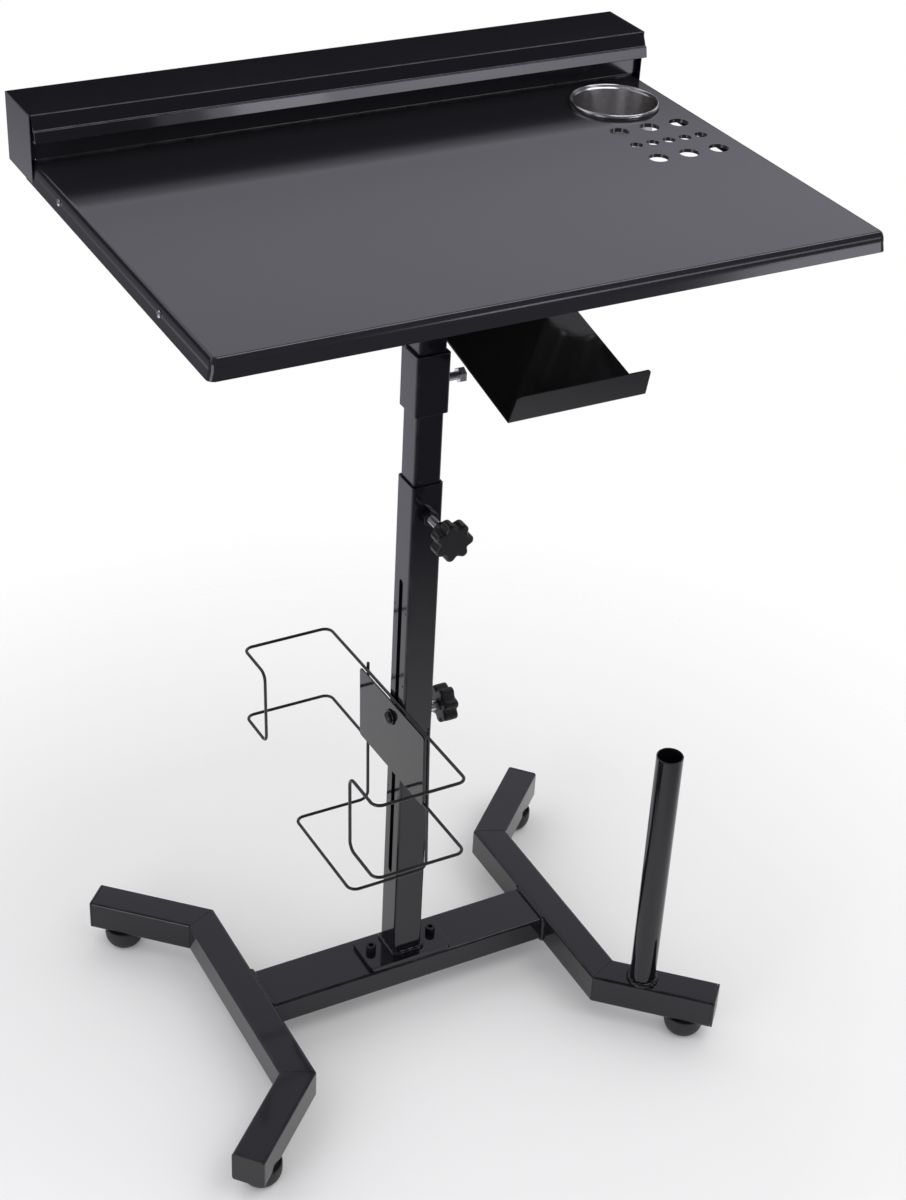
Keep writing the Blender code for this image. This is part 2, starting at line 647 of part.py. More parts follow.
def height_clamp():
    """The weld nut on the column's front, the clamp screw through it and the star knob on the screw."""
    nut_back = COLUMN_SIZE / 2 + FIT_GAP
    nut("height_weld_nut", HEIGHT_NUT_SIZE, HEIGHT_NUT_THICKNESS, HEIGHT_SCREW_DIAMETER, GLOSS_BLACK,
        (0, -nut_back - HEIGHT_NUT_THICKNESS / 2, HEIGHT_SCREW_Z), TO_FRONT)
    tip = MAST_SIZE / 2 + FIT_GAP
    knob_start = nut_back + HEIGHT_NUT_THICKNESS + HEIGHT_SCREW_EXPOSED
    length = knob_start + KNOB_SOCKET - FIT_GAP - tip
    radius = HEIGHT_SCREW_DIAMETER / 2
    axis = joint_empty("height_screw_axis", (0, -tip, HEIGHT_SCREW_Z), COLUMN_AXIS)
    profile = [(0, length), (radius - CHAMFER, length), (radius, length - CHAMFER), (radius, CHAMFER),
               (radius - CHAMFER, 0), (0, 0)]
    turned("height_screw", profile, BRIGHT_ZINC, turn=TO_FRONT, parent=axis)
    place = (0, tip - knob_start, 0)
    star_knob("height_knob", HEIGHT_SCREW_DIAMETER, KNOB_HUB_LENGTH, place, TO_FRONT, axis)


def post():
    """The open round post that a roll slips over, on the right front arm."""
    outer = circle(POST_DIAMETER / 2, steps=POST_STEPS)
    inner = circle(POST_DIAMETER / 2 - POST_WALL, steps=POST_STEPS)
    mesh = outline_mesh("roll_post", [outer, inner], POST_LENGTH)
    middle = LEG_TOP + FIT_GAP + POST_LENGTH / 2
    put("roll_post", mesh, GLOSS_BLACK, arm_point(1, -1, POST_FROM_BEND, middle))


def mast():
    """The telescoping tube and the sleeve at its top, with the bolt that clamps the stem."""
    axis = joint_empty("mast_axis", (0, 0, SLEEVE_BOTTOM), COLUMN_AXIS)
    top = MAST_TOP - SLEEVE_BOTTOM
    tube = tube_mesh("mast_tube", MAST_SIZE, MAST_SIZE, MAST_WALL, MAST_LENGTH)
    piece = put("mast_tube", tube, GLOSS_BLACK, (0, 0, top - MAST_LENGTH / 2), parent=axis)
    slot_top = SLOT_TOP + MAST_SLOT_MARGIN - SLEEVE_BOTTOM
    slot = box_mesh("mast_slot", (2 * MAST_SIZE, SLOT_WIDTH, 2 * MAST_LENGTH))
    combine(piece, tool("mast_slot", slot, (0, 0, slot_top - MAST_LENGTH), parent=axis))
    mesh = tube_mesh("sleeve", SLEEVE_SIZE, SLEEVE_SIZE, SLEEVE_WALL, SLEEVE_LENGTH)
    sleeve = put("sleeve", mesh, GLOSS_BLACK, (0, 0, SLEEVE_LENGTH / 2), parent=axis)
    bolt_z = SLEEVE_LENGTH - CLAMP_BOLT_BELOW_SLEEVE_TOP
    hole = rod_mesh("clamp_hole", CLAMP_BOLT_DIAMETER / 2 + SCREW_GAP, SLEEVE_SIZE)
    combine(sleeve, tool("clamp_hole", hole, (SLEEVE_SIZE / 2, 0, bolt_z), TO_RIGHT, axis))
    clamp_bolt(bolt_z, axis)


def clamp_bolt(height, parent):
    """The hexagon bolt in the sleeve's right side, its tip on the tray's stem."""
    tip = MAST_SIZE / 2 + FIT_GAP
    head_start = SLEEVE_SIZE / 2 + CLAMP_BOLT_EXPOSED - tip
    place = (tip, 0, height)
    head = outline_mesh("clamp_bolt", [hexagon(CLAMP_BOLT_HEAD_SIZE)], CLAMP_BOLT_HEAD_HEIGHT)
    head.transform(Matrix.Translation((0, 0, head_start + CLAMP_BOLT_HEAD_HEIGHT / 2)))
    piece = put("clamp_bolt", head, BRIGHT_ZINC, place, TO_RIGHT, parent)
    length = head_start + CLAMP_BOLT_HEAD_HEIGHT / 2
    shank = rod_mesh("clamp_bolt_shank", CLAMP_BOLT_DIAMETER / 2, length)
    shank.transform(Matrix.Translation((0, 0, length / 2)))
    combine(piece, tool("clamp_bolt_shank", shank, place, TO_RIGHT, parent), "UNION")


def stem_stud_places():
    """Where the tray's weld studs go through the stem plate."""
    x = STEM_PLATE_LENGTH / 2 - STUD_FROM_PLATE_EDGE
    y = STEM_PLATE_WIDTH / 2 - STUD_FROM_PLATE_EDGE
    return [(sx * x, sy * y) for sx in (-1, 1) for sy in (-1, 1)]


def shelf_stud_places():
    """Where the tray's weld studs go through the shelf's flange."""
    y = SHELF_REAR_Y + SHELF_FLANGE / 2
    reach = SHELF_WIDTH / 2 - SHELF_STUD_FROM_EDGE
    return [(SHELF_MIDDLE_X - reach, y), (SHELF_MIDDLE_X + reach, y)]


def hole_places():
    """Centre and diameter of every ink-cup hole: rows of large, small and large holes."""
    rows = ((LARGE_HOLES_PER_ROW, LARGE_HOLE_SPACING, LARGE_HOLE_DIAMETER),
            (SMALL_HOLES_PER_ROW, SMALL_HOLE_SPACING, SMALL_HOLE_DIAMETER),
            (LARGE_HOLES_PER_ROW, LARGE_HOLE_SPACING, LARGE_HOLE_DIAMETER))
    places = []
    for row, (count, spacing, diameter) in enumerate(rows):
        y = CUP_Y - HOLE_ROWS_FROM_CUP - row * HOLE_ROW_SPACING
        for index in range(count):
            places.append((CUP_X + (index - (count - 1) / 2) * spacing, y, diameter))
    return places


def tray_pan(parent):
    """The tray: one sheet with skirts at the front and sides and the riser's wall folded up at the back."""
    mesh = bpy.data.meshes.new("tray_pan")
    shape = bmesh.new()
    size = Matrix.Diagonal((TRAY_WIDTH, TRAY_DEPTH, SKIRT_HEIGHT, 1.0))
    middle = (0, TRAY_FRONT_Y + TRAY_DEPTH / 2, TRAY_TOP - SKIRT_HEIGHT / 2 - STEM_BOTTOM)
    bmesh.ops.create_cube(shape, size=1.0, matrix=Matrix.Translation(middle) @ size)
    shape.normal_update()
    open_sides = [face for face in shape.faces if face.normal.z < -0.5 or face.normal.y > 0.5]
    bmesh.ops.delete(shape, geom=open_sides, context="FACES_ONLY")
    fold = Vector((0, WALL_Y, TRAY_TOP - STEM_BOTTOM))
    back_edge = [edge for edge in shape.edges
                 if ((edge.verts[0].co + edge.verts[1].co) / 2 - fold).length < SHEET]
    wall = bmesh.ops.extrude_edge_only(shape, edges=back_edge)["geom"]
    wall_verts = [part for part in wall if isinstance(part, bmesh.types.BMVert)]
    bmesh.ops.translate(shape, verts=wall_verts, vec=(0, 0, RISER_HEIGHT - SHEET - FIT_GAP))
    bmesh.ops.recalc_face_normals(shape, faces=shape.faces)
    top = max(shape.faces, key=lambda face: abs(face.normal.z))
    if top.normal.z < 0:
        bmesh.ops.reverse_faces(shape, faces=shape.faces)
    shape.to_mesh(mesh)
    shape.free()
    piece = put("tray_pan", mesh, GLOSS_BLACK, parent=parent)
    bends = piece.modifiers.new("bends", "BEVEL")
    bends.width = HEM_RADIUS
    bends.segments = CORNER_STEPS
    bends.limit_method = "ANGLE"
    bends.angle_limit = math.radians(30)
    thickness = piece.modifiers.new("sheet", "SOLIDIFY")
    thickness.thickness = SHEET
    thickness.offset = -1.0
    thickness.use_even_offset = True
    return piece


def tray_openings(piece, parent):
    """Cuts the cup's seat and the ink-cup holes, and joins the weld studs under the tray."""
    level = TRAY_TOP - STEM_BOTTOM
    seat = rod_mesh("cup_seat", CUP_TOP_DIAMETER / 2 + SLIDE_GAP, SKIRT_HEIGHT, CUP_STEPS)
    combine(piece, tool("cup_seat", seat, (CUP_X, CUP_Y, level), parent=parent))
    for index, (x, y, diameter) in enumerate(hole_places()):
        hole = rod_mesh(f"ink_hole_{index + 1}", diameter / 2, SKIRT_HEIGHT)
        combine(piece, tool(f"ink_hole_{index + 1}", hole, (x, y, level), parent=parent))
    carried = ((stem_stud_places(), STEM_PLATE_THICKNESS), (shelf_stud_places(), SHELF_SHEET))
    count = 0
    for places, plate in carried:
        nut_middle = TRAY_UNDERSIDE - STEM_BOTTOM - FIT_GAP - plate - FIT_GAP - STUD_NUT_THICKNESS / 2
        bottom = nut_middle - STUD_NUT_THICKNESS / 2 - STUD_PAST_NUT
        top = level - SHEET / 2
        for x, y in places:
            count += 1
            stud = rod_mesh(f"stud_{count}", STUD_DIAMETER / 2, top - bottom, ROUND_STEPS // 2)
            combine(piece, tool(f"stud_{count}", stud, (x, y, (top + bottom) / 2), parent=parent), "UNION")
            nut(f"stud_nut_{count}", STUD_NUT_SIZE, STUD_NUT_THICKNESS, STUD_DIAMETER, BRIGHT_ZINC,
                (x, y, nut_middle), parent=parent)


def stem(parent):
    """The square stem under the tray and the plate at its top."""
    tube = tube_mesh("tray_stem", MAST_SIZE, MAST_SIZE, STEM_WALL, STEM_LENGTH)
    put("tray_stem", tube, GLOSS_BLACK, (0, 0, STEM_LENGTH / 2), parent=parent)
    outlines = [rounded_rectangle(STEM_PLATE_LENGTH, STEM_PLATE_WIDTH, STEM_PLATE_CORNER)]
    outlines += [circle(STUD_DIAMETER / 2 + SCREW_GAP, place) for place in stem_stud_places()]
    plate = outline_mesh("stem_plate", outlines, STEM_PLATE_THICKNESS)
    middle = STEM_PLATE_BOTTOM + STEM_PLATE_THICKNESS / 2 - STEM_BOTTOM
    put("stem_plate", plate, GLOSS_BLACK, (0, 0, middle), parent=parent)


def fascia_points():
    """The riser's front as (y, z) points, z above the stem's foot, from its top edge down its lip."""
    y = WALL_Y - RISER_OVERHANG
    z = RISER_TOP - STEM_BOTTOM
    lip_y = y - FASCIA_LEAN - LIP_STEP
    return [(y, z), (y - FASCIA_LEAN, z - FASCIA_DROP), (lip_y, z - FASCIA_DROP),
            (lip_y, z - FASCIA_DROP - LIP_HEIGHT)]


def riser(parent):
    """The riser box: a folded cover and an end plate at each side."""
    bottom = SKIRT_BOTTOM - STEM_BOTTOM
    top = RISER_TOP - STEM_BOTTOM
    front = fascia_points()
    lip_y, lip_z = front[-1]
    outside = [(RISER_BACK_Y, bottom), (RISER_BACK_Y, top), *front, (lip_y + LIP_RETURN, lip_z)]
    cover = outline_mesh("riser_cover", [folded_sheet(outside, SHEET)], TRAY_WIDTH)
    put("riser_cover", cover, GLOSS_BLACK, (0, 0, 0), TO_RIGHT, parent)
    foot_y = WALL_Y - RISER_OVERHANG + END_PLATE_FRONT_INSET
    side = [(RISER_BACK_Y, bottom), (RISER_BACK_Y, top), *front, (foot_y, lip_z), (foot_y, bottom)]
    for sign, side_name in ((-1, "left"), (1, "right")):
        plate = outline_mesh(f"riser_{side_name}_end", [side], SHEET)
        x = sign * (TRAY_WIDTH / 2 + FIT_GAP + SHEET / 2)
        put(f"riser_{side_name}_end", plate, GLOSS_BLACK, (x, 0, 0), TO_RIGHT, parent)


def shelf(parent):
    """The power-supply shelf: a flange under the tray, a rear wall, a sloping shelf and a front lip."""
    top = TRAY_UNDERSIDE - FIT_GAP - STEM_BOTTOM
    front = Vector((SHELF_FRONT_Y, TRAY_TOP - SHELF_DROP - STEM_BOTTOM))
    slope = Vector((math.cos(SHELF_SLOPE), math.sin(SHELF_SLOPE)))
    rear = front + slope * SHELF_LENGTH
    lip = front + Vector((-slope.y, slope.x)) * SHELF_LIP
    face = [lip, front, rear, (rear.x, top - SHELF_SHEET), (rear.x + SHELF_FLANGE, top - SHELF_SHEET)]
    outline = folded_sheet(face, SHELF_SHEET)
    piece = put("power_shelf", outline_mesh("power_shelf", [outline], SHELF_WIDTH), GLOSS_BLACK,
                (SHELF_MIDDLE_X, 0, 0), TO_RIGHT, parent)
    for index, (x, y) in enumerate(shelf_stud_places()):
        hole = rod_mesh(f"shelf_stud_hole_{index + 1}", STUD_DIAMETER / 2 + SCREW_GAP, SKIRT_HEIGHT)
        combine(piece, tool(f"shelf_stud_hole_{index + 1}", hole, (x, y, top), parent=parent))


def cup(parent):
    """The turned steel cup that hangs by its rolled rim in the tray."""
    rim = CUP_RIM_DIAMETER / 2
    top = CUP_TOP_DIAMETER / 2
    bottom = CUP_BOTTOM_DIAMETER / 2
    roll = (rim - top) / 2
    low = -CUP_DEPTH
    inner_floor = low + CUP_WALL
    profile = [(0, inner_floor), (bottom - CUP_BASE_FILLET, inner_floor),
               (bottom - CUP_WALL, inner_floor + CUP_BASE_FILLET - CUP_WALL), (top - CUP_WALL, FIT_GAP)]
    for step in range(BEND_STEPS + 1):
        angle = math.pi * (1 - step / BEND_STEPS)
        profile.append((top + roll + roll * math.cos(angle), FIT_GAP + roll + roll * math.sin(angle)))
    profile += [(rim, FIT_GAP), (top, FIT_GAP), (bottom, low + CUP_BASE_FILLET),
                (bottom - CUP_BASE_FILLET, low), (0, low)]
    axis = joint_empty("cup_axis", (CUP_X, CUP_Y, TRAY_TOP - STEM_BOTTOM), parent)
    turned("rinse_cup", profile, STAINLESS, parent=axis, steps=CUP_STEPS)


def tray():
    """Everything that lifts out of the sleeve with the stem."""
    axis = joint_empty("stem_axis", (0, 0, STEM_BOTTOM), COLUMN_AXIS)
    stem(axis)
    pan = tray_pan(axis)
    tray_openings(pan, axis)
    riser(axis)
    shelf(axis)
    cup(axis)


def rack():
    """The wire bottle rack: a plate and two bent wires, clamped through the column's slots."""
    axis = joint_empty("rack_axis", (0, 0, RACK_BOLT_Z), COLUMN_AXIS)
    axis.rotation_euler.x = -RACK_TILT
    wire_x = -(COLUMN_SIZE / 2 + FIT_GAP + WIRE_DIAMETER / 2)
    plate_x = wire_x - WIRE_DIAMETER / 2 - FIT_GAP - RACK_PLATE_THICKNESS / 2
    plate_top = RACK_BOLT_BELOW_PLATE_TOP
    plate_bottom = plate_top - RACK_PLATE_HEIGHT
    middle = (plate_top + plate_bottom) / 2
    outlines = [rounded_rectangle(RACK_PLATE_LENGTH, RACK_PLATE_HEIGHT, WIRE_DIAMETER),
                circle(RACK_BOLT_DIAMETER / 2 + SCREW_GAP, (0, -middle))]
    plate = outline_mesh("rack_plate", outlines, RACK_PLATE_THICKNESS)
    put("rack_plate", plate, GLOSS_BLACK, (plate_x, 0, middle), TO_RIGHT, axis)
    holder_wire(wire_x, plate_top + HOLDER_WIRE_PAST_PLATE, plate_bottom - HOLDER_WIRE_PAST_PLATE, axis)
    bottle_shelf_wire(wire_x + WIRE_DIAMETER + FIT_GAP, plate_top, axis)
    rack_clamp(plate_x - RACK_PLATE_THICKNESS / 2 - FIT_GAP, axis)


def holder_wire(x, upper, lower, parent):
    """One closed wire that makes an upper and a lower C, open towards -X."""
    far = x - HOLDER_REACH
    y = HOLDER_LENGTH / 2
    back = y - HOLDER_RETURN
    front_half = [(x, y), (x, -y), (far, -y), (far, -back)]
    corners = [(cx, cy, upper) for cx, cy in front_half]
    corners += [(cx, cy, lower) for cx, cy in reversed(front_half)]
    corners += [(cx, -cy, lower) for cx, cy in front_half[2:]]
    corners += [(cx, -cy, upper) for cx, cy in reversed(front_half[2:])]
    wire("holder_wire", corners, True, parent)


def bottle_shelf_wire(x, upper, parent):
    """The lower wire: two uprights and a level U that bottles stand on."""
    y = BOTTLE_SHELF_LENGTH / 2
    level = upper - BOTTLE_SHELF_DROP
    far = x - BOTTLE_SHELF_REACH
    top = upper + BOTTLE_SHELF_NUB
    corners = [(x, y, top), (x, y, level), (far, y, level), (far, -y, level), (x, -y, level), (x, -y, top)]
    wire("bottle_shelf_wire", corners, False, parent)


def rack_clamp(plate_face, parent):
    """The rack's bolt and washer on the left, and the hub and star knob on the column's right."""
    washer_middle = plate_face - RACK_WASHER_THICKNESS / 2
    washer = outline_mesh("rack_washer", [circle(RACK_WASHER_DIAMETER / 2),
                                          circle(RACK_BOLT_DIAMETER / 2 + SCREW_GAP)], RACK_WASHER_THICKNESS)
    put("rack_washer", washer, BLACK_OXIDE, (washer_middle, 0, 0), TO_RIGHT, parent)
    hub_start = COLUMN_SIZE / 2 + FIT_GAP
    knob_start = hub_start + RACK_HUB_LENGTH + FIT_GAP
    seat = plate_face - RACK_WASHER_THICKNESS - FIT_GAP
    length = knob_start + KNOB_SOCKET - FIT_GAP - seat
    shank = RACK_BOLT_DIAMETER / 2
    head = RACK_BOLT_HEAD_DIAMETER / 2
    profile = [(0, length), (shank - CHAMFER, length), (shank, length - CHAMFER), (shank, 0), (head, 0)]
    for step in range(1, BEND_STEPS):
        angle = math.pi / 2 * step / BEND_STEPS
        profile.append((head * math.cos(angle), -RACK_BOLT_HEAD_HEIGHT * math.sin(angle)))
    profile.append((0, -RACK_BOLT_HEAD_HEIGHT))
    turned("rack_bolt", profile, BLACK_OXIDE, (seat, 0, 0), TO_RIGHT, parent)
    hub_axis = joint_empty("rack_hub_axis", (hub_start, 0, 0), parent)
    bore = shank + SCREW_GAP
    body = RACK_HUB_DIAMETER / 2
    flange = RACK_HUB_FLANGE_DIAMETER / 2
    profile = [(bore, RACK_HUB_LENGTH), (body, RACK_HUB_LENGTH), (body, RACK_HUB_FLANGE),
               (flange, RACK_HUB_FLANGE), (flange, 0), (bore, 0)]
    turned("rack_hub", profile, BRIGHT_ZINC, turn=TO_RIGHT, parent=hub_axis, ring=True)
    star_knob("rack_knob", RACK_BOLT_DIAMETER, 0, (RACK_HUB_LENGTH + FIT_GAP, 0, 0), TO_RIGHT, hub_axis)


leg(-1, "left")
leg(1, "right")
beam()
base_plate()
column()
height_clamp()
post()
mast()
tray()
rack()
bpy.context.view_layer.update()
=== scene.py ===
"""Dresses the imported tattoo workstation: finer pieces, finishes, a studio and the photograph's camera."""
import logging
import math
from collections.abc import Callable, Sequence
from dataclasses import dataclass
from enum import Enum
from typing import Any

import bmesh
import bpy
from mathutils import Matrix, Vector


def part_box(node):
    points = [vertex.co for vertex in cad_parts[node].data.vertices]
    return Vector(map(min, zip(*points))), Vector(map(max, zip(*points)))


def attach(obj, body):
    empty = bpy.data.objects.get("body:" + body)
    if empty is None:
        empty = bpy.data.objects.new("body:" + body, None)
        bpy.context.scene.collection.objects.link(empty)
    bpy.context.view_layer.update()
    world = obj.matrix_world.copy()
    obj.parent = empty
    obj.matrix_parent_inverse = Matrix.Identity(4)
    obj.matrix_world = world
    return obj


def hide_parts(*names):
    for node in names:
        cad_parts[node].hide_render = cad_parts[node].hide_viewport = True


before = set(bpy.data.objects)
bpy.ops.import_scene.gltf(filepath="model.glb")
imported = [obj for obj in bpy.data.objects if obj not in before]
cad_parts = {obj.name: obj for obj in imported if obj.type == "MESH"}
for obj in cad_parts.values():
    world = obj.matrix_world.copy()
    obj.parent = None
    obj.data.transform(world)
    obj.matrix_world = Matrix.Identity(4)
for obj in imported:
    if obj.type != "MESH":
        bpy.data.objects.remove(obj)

LOG = logging.getLogger("workstation")
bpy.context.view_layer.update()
ROUNDING = "rounding"
WIDEST_ROUNDING = 0.0012
SAME_PLACE = 0.0001
CUT_PAST = 0.01
FOLD_TURN = 0.2
CORNER_TURN = 1.0
QUARTER_TURN = math.pi / 2
THREAD_DEPTH = 0.55
THREAD_RIDGE = (0.10, 0.45, 0.65)
WIRE_SIDES = 12
BEND_STEPS = 8
BEAD_SIDES = 10
BEAD_WAVES = (2.4, 0.37)
Point = Sequence[float]
Profile = Sequence[tuple[float, float]]
Test = Callable[[Any], bool]


class Element(Enum):
    """What a selection in edit mode is made of."""

    VERT = "VERT"
    EDGE = "EDGE"
    FACE = "FACE"


class Way(Enum):
    """The direction of an axis of the frame."""

    RIGHT = (1.0, 0.0, 0.0)
    LEFT = (-1.0, 0.0, 0.0)
    FRONT = (0.0, -1.0, 0.0)
    BACK = (0.0, 1.0, 0.0)
    UP = (0.0, 0.0, 1.0)
    DOWN = (0.0, 0.0, -1.0)

    @property
    def line(self) -> Vector:
        """The direction as a vector."""
        return Vector(self.value)


class Slot(Enum):
    """The material slots."""

    PAINT = "gloss_black_paint"
    WIRE = "black_wire_coating"
    PLASTIC = "black_plastic"
    RUBBER = "black_rubber"
    OXIDE = "black_oxide_steel"
    ZINC = "bright_zinc_steel"
    STAINLESS = "stainless_steel"


def runs_along(line: Point) -> Test:
    """A test for edges parallel to a line."""
    way = Vector(line).normalized()
    return lambda edge: abs((edge.verts[1].co - edge.verts[0].co).normalized().dot(way)) > 0.999


def turned_by(edge: bmesh.types.BMEdge) -> float:
    """The angle between an edge's two faces, or 0 where it has not two."""
    return edge.calc_face_angle(0.0) if len(edge.link_faces) == 2 else 0.0


def middle_of(part: bmesh.types.BMEdge | bmesh.types.BMFace) -> Vector:
    """The mean of an edge's or face's corners."""
    return sum((vert.co for vert in part.verts), Vector()) / len(part.verts)


def thread(radius: float, pitch: float, start: float, end: float) -> list[tuple[float, float]]:
    """The (radius, height) rings of a screw thread's ridges.

    Args:
        radius: The thread's outer radius.
        pitch: The height of one turn.
        start: The height at which it begins.
        end: The height that it does not pass.

    Returns:
        The rings of whole turns only.
    """
    root = radius - THREAD_DEPTH * pitch
    rise, crest, fall = THREAD_RIDGE
    rings = []
    for index in range(int((end - start) / pitch)):
        foot = start + index * pitch
        rings += [(root, foot + rise * pitch), (radius, foot + crest * pitch), (radius, foot + fall * pitch),
                  (root, foot + pitch)]
    return rings


def around_block(width: float, depth: float, corner: float, step: float) -> list[tuple[float, float]]:
    """Evenly spaced points round a rounded rectangle, from one corner arc to the next.

    Args:
        width: The rectangle's size along the first axis.
        depth: Its size along the second.
        corner: The radius of its corners.
        step: The least distance between points on a side.

    Returns:
        The points, side by side, about a middle at 0.
    """
    points = []
    for quarter in range(4):
        sides = (width, depth) if quarter % 2 == 0 else (depth, width)
        start = quarter * QUARTER_TURN
        half = Vector((sides[0] / 2 - corner, sides[1] / 2 - corner))
        middle = Matrix.Rotation(start, 2) @ half
        points += [tuple(middle + Vector((math.cos(angle), math.sin(angle))) * corner)
                   for angle in (start, start + QUARTER_TURN / 2, start + QUARTER_TURN)]
        run = 2 * half.x
        along = Matrix.Rotation(start, 2) @ Vector((-1.0, 0.0))
        count = int(run / step)
        first = Vector(points[-1])
        points += [tuple(first + along * run * index / count) for index in range(1, count)]
    return points


def clear_selection() -> None:
    """Leaves edit mode and selects nothing."""
    if bpy.context.mode != "OBJECT":
        bpy.ops.object.mode_set(mode="OBJECT")
    bpy.ops.object.select_all(action="DESELECT")


class Workpiece:
    """A mesh that starts as a primitive and is shaped in edit mode by operators."""

    def __init__(self, name: str) -> None:
        """Takes the primitive that was just added and opens it for editing.

        Args:
            name: The name of the piece and its mesh.
        """
        self.piece = bpy.context.active_object
        self.piece.name = name
        self.piece.data.name = name
        bpy.ops.object.transform_apply(location=True, rotation=True, scale=True)
        bpy.ops.object.mode_set(mode="EDIT")

    @classmethod
    def block(cls, name: str, low: Point, high: Point) -> "Workpiece":
        """Starts from a box between two corners.

        Args:
            name: The piece's name.
            low: The corner with the lowest x, y and z.
            high: The corner with the highest.

        Returns:
            The box, open for editing.
        """
        clear_selection()
        low, high = Vector(low), Vector(high)
        bpy.ops.mesh.primitive_cube_add(size=1.0, location=(low + high) / 2, scale=high - low)
        return cls(name)

    @classmethod
    def ring(cls, name: str, radius: float, centre: Point, axis: Point, steps: int,
             filled: bool = False) -> "Workpiece":
        """Starts from a circle about an axis, open or filled.

        Args:
            name: The piece's name.
            radius: The circle's radius.
            centre: Its middle.
            axis: The direction that it looks in.
            steps: The number of its corners.
            filled: Whether one face fills it.

        Returns:
            The circle, selected.
        """
        clear_selection()
        turn = Vector(axis).to_track_quat("Z", "Y").to_euler()
        bpy.ops.mesh.primitive_circle_add(vertices=steps, radius=radius, location=centre, rotation=turn,
                                          fill_type="NGON" if filled else "NOTHING")
        return cls(name)

    @classmethod
    def corner_of_plane(cls, name: str, place: Point) -> "Workpiece":
        """Starts from a plane cut down to one corner, which is at a place.

        Args:
            name: The piece's name.
            place: Where the corner is.

        Returns:
            The single corner, selected.
        """
        clear_selection()
        bpy.ops.mesh.primitive_plane_add(size=1.0, location=Vector(place) + Vector((0.5, 0.5, 0.0)))
        work = cls(name)
        corner = Vector(place)
        work.pick(Element.VERT, lambda vert: (vert.co - corner).length > 0.1)
        bpy.ops.mesh.delete(type="VERT")
        bpy.ops.mesh.select_all(action="SELECT")
        return work

    @classmethod
    def folded(cls, name: str, left: float, right: float, profile: Profile) -> "Workpiece":
        """Starts from one edge along X and extrudes it along a sheet's folds.

        Args:
            name: The piece's name.
            left: The sheet's lowest x.
            right: The sheet's highest x.
            profile: The (y, z) places of one face of the sheet, fold by fold.

        Returns:
            The open sheet, with no thickness yet.
        """
        clear_selection()
        first = Vector((0.0, *profile[0]))
        bpy.ops.mesh.primitive_plane_add(size=1.0, location=((left + right) / 2, first.y + 0.5, first.z))
        bpy.context.active_object.scale.x = right - left
        work = cls(name)
        work.pick(Element.VERT, lambda vert: vert.co.y > first.y + 0.5)
        bpy.ops.mesh.delete(type="VERT")
        bpy.ops.mesh.select_all(action="SELECT")
        for start, end in zip(profile, profile[1:]):
            work.extrude(Vector((0.0, *end)) - Vector((0.0, *start)))
        return work

    @classmethod
    def outline(cls, name: str, points: Sequence[Point], depth: Point) -> "Workpiece":
        """Draws a closed outline corner by corner, fills it and extrudes it by a depth.

        Args:
            name: The piece's name.
            points: The outline's corners in order.
            depth: The offset of the far face.

        Returns:
            The closed solid.
        """
        work = cls.corner_of_plane(name, points[0])
        for start, end in zip(points, points[1:]):
            work.extrude(Vector(end) - Vector(start))
        work.pick(Element.VERT, lambda vert: len(vert.link_edges) == 1)
        bpy.ops.mesh.edge_face_add()
        bpy.ops.mesh.select_all(action="SELECT")
        bpy.ops.mesh.edge_face_add()
        work.extrude(depth)
        return work.face_out()

    @classmethod
    def lathe(cls, name: str, profile: Profile, foot: Point, axis: Point, steps: int = 48) -> "Workpiece":
        """Extrudes a circle ring by ring along an axis.

        Args:
            name: The piece's name.
            profile: (radius, height) of each ring; the first and the last are capped flat.
            foot: The point of the axis at height 0.
            axis: The direction of the heights.
            steps: The number of corners round the circle.

        Returns:
            The closed turned piece.
        """
        way = Vector(axis).normalized()
        foot = Vector(foot)
        radius, height = profile[0]
        work = cls.ring(name, radius, foot + way * height, way, steps, filled=True)
        for next_radius, next_height in profile[1:]:
            work.extrude(way * (next_height - height))
            work.scale(next_radius / radius, foot + way * next_height)
            radius, height = next_radius, next_height
        bpy.ops.mesh.select_mode(type="EDGE")
        bpy.ops.mesh.edge_face_add()
        return work.face_out()

    @classmethod
    def tube(cls, name: str, low: Point, high: Point, along: Way, wall: float, corner: float,
             rim: float = 0.0004) -> "Workpiece":
        """A rectangular tube with rounded corners, open at both ends, its rims a little rounded.

        Args:
            name: The piece's name.
            low: Its lowest corner.
            high: Its highest corner.
            along: The direction of its length.
            wall: The thickness of its wall.
            corner: The radius of its corners.
            rim: The rounding of its rims.

        Returns:
            The hollow tube.
        """
        work = cls.block(name, low, high)
        work.pick(Element.EDGE, runs_along(along.value)).bevel(corner, 5)
        return work.hollow(along.line, wall, rim)

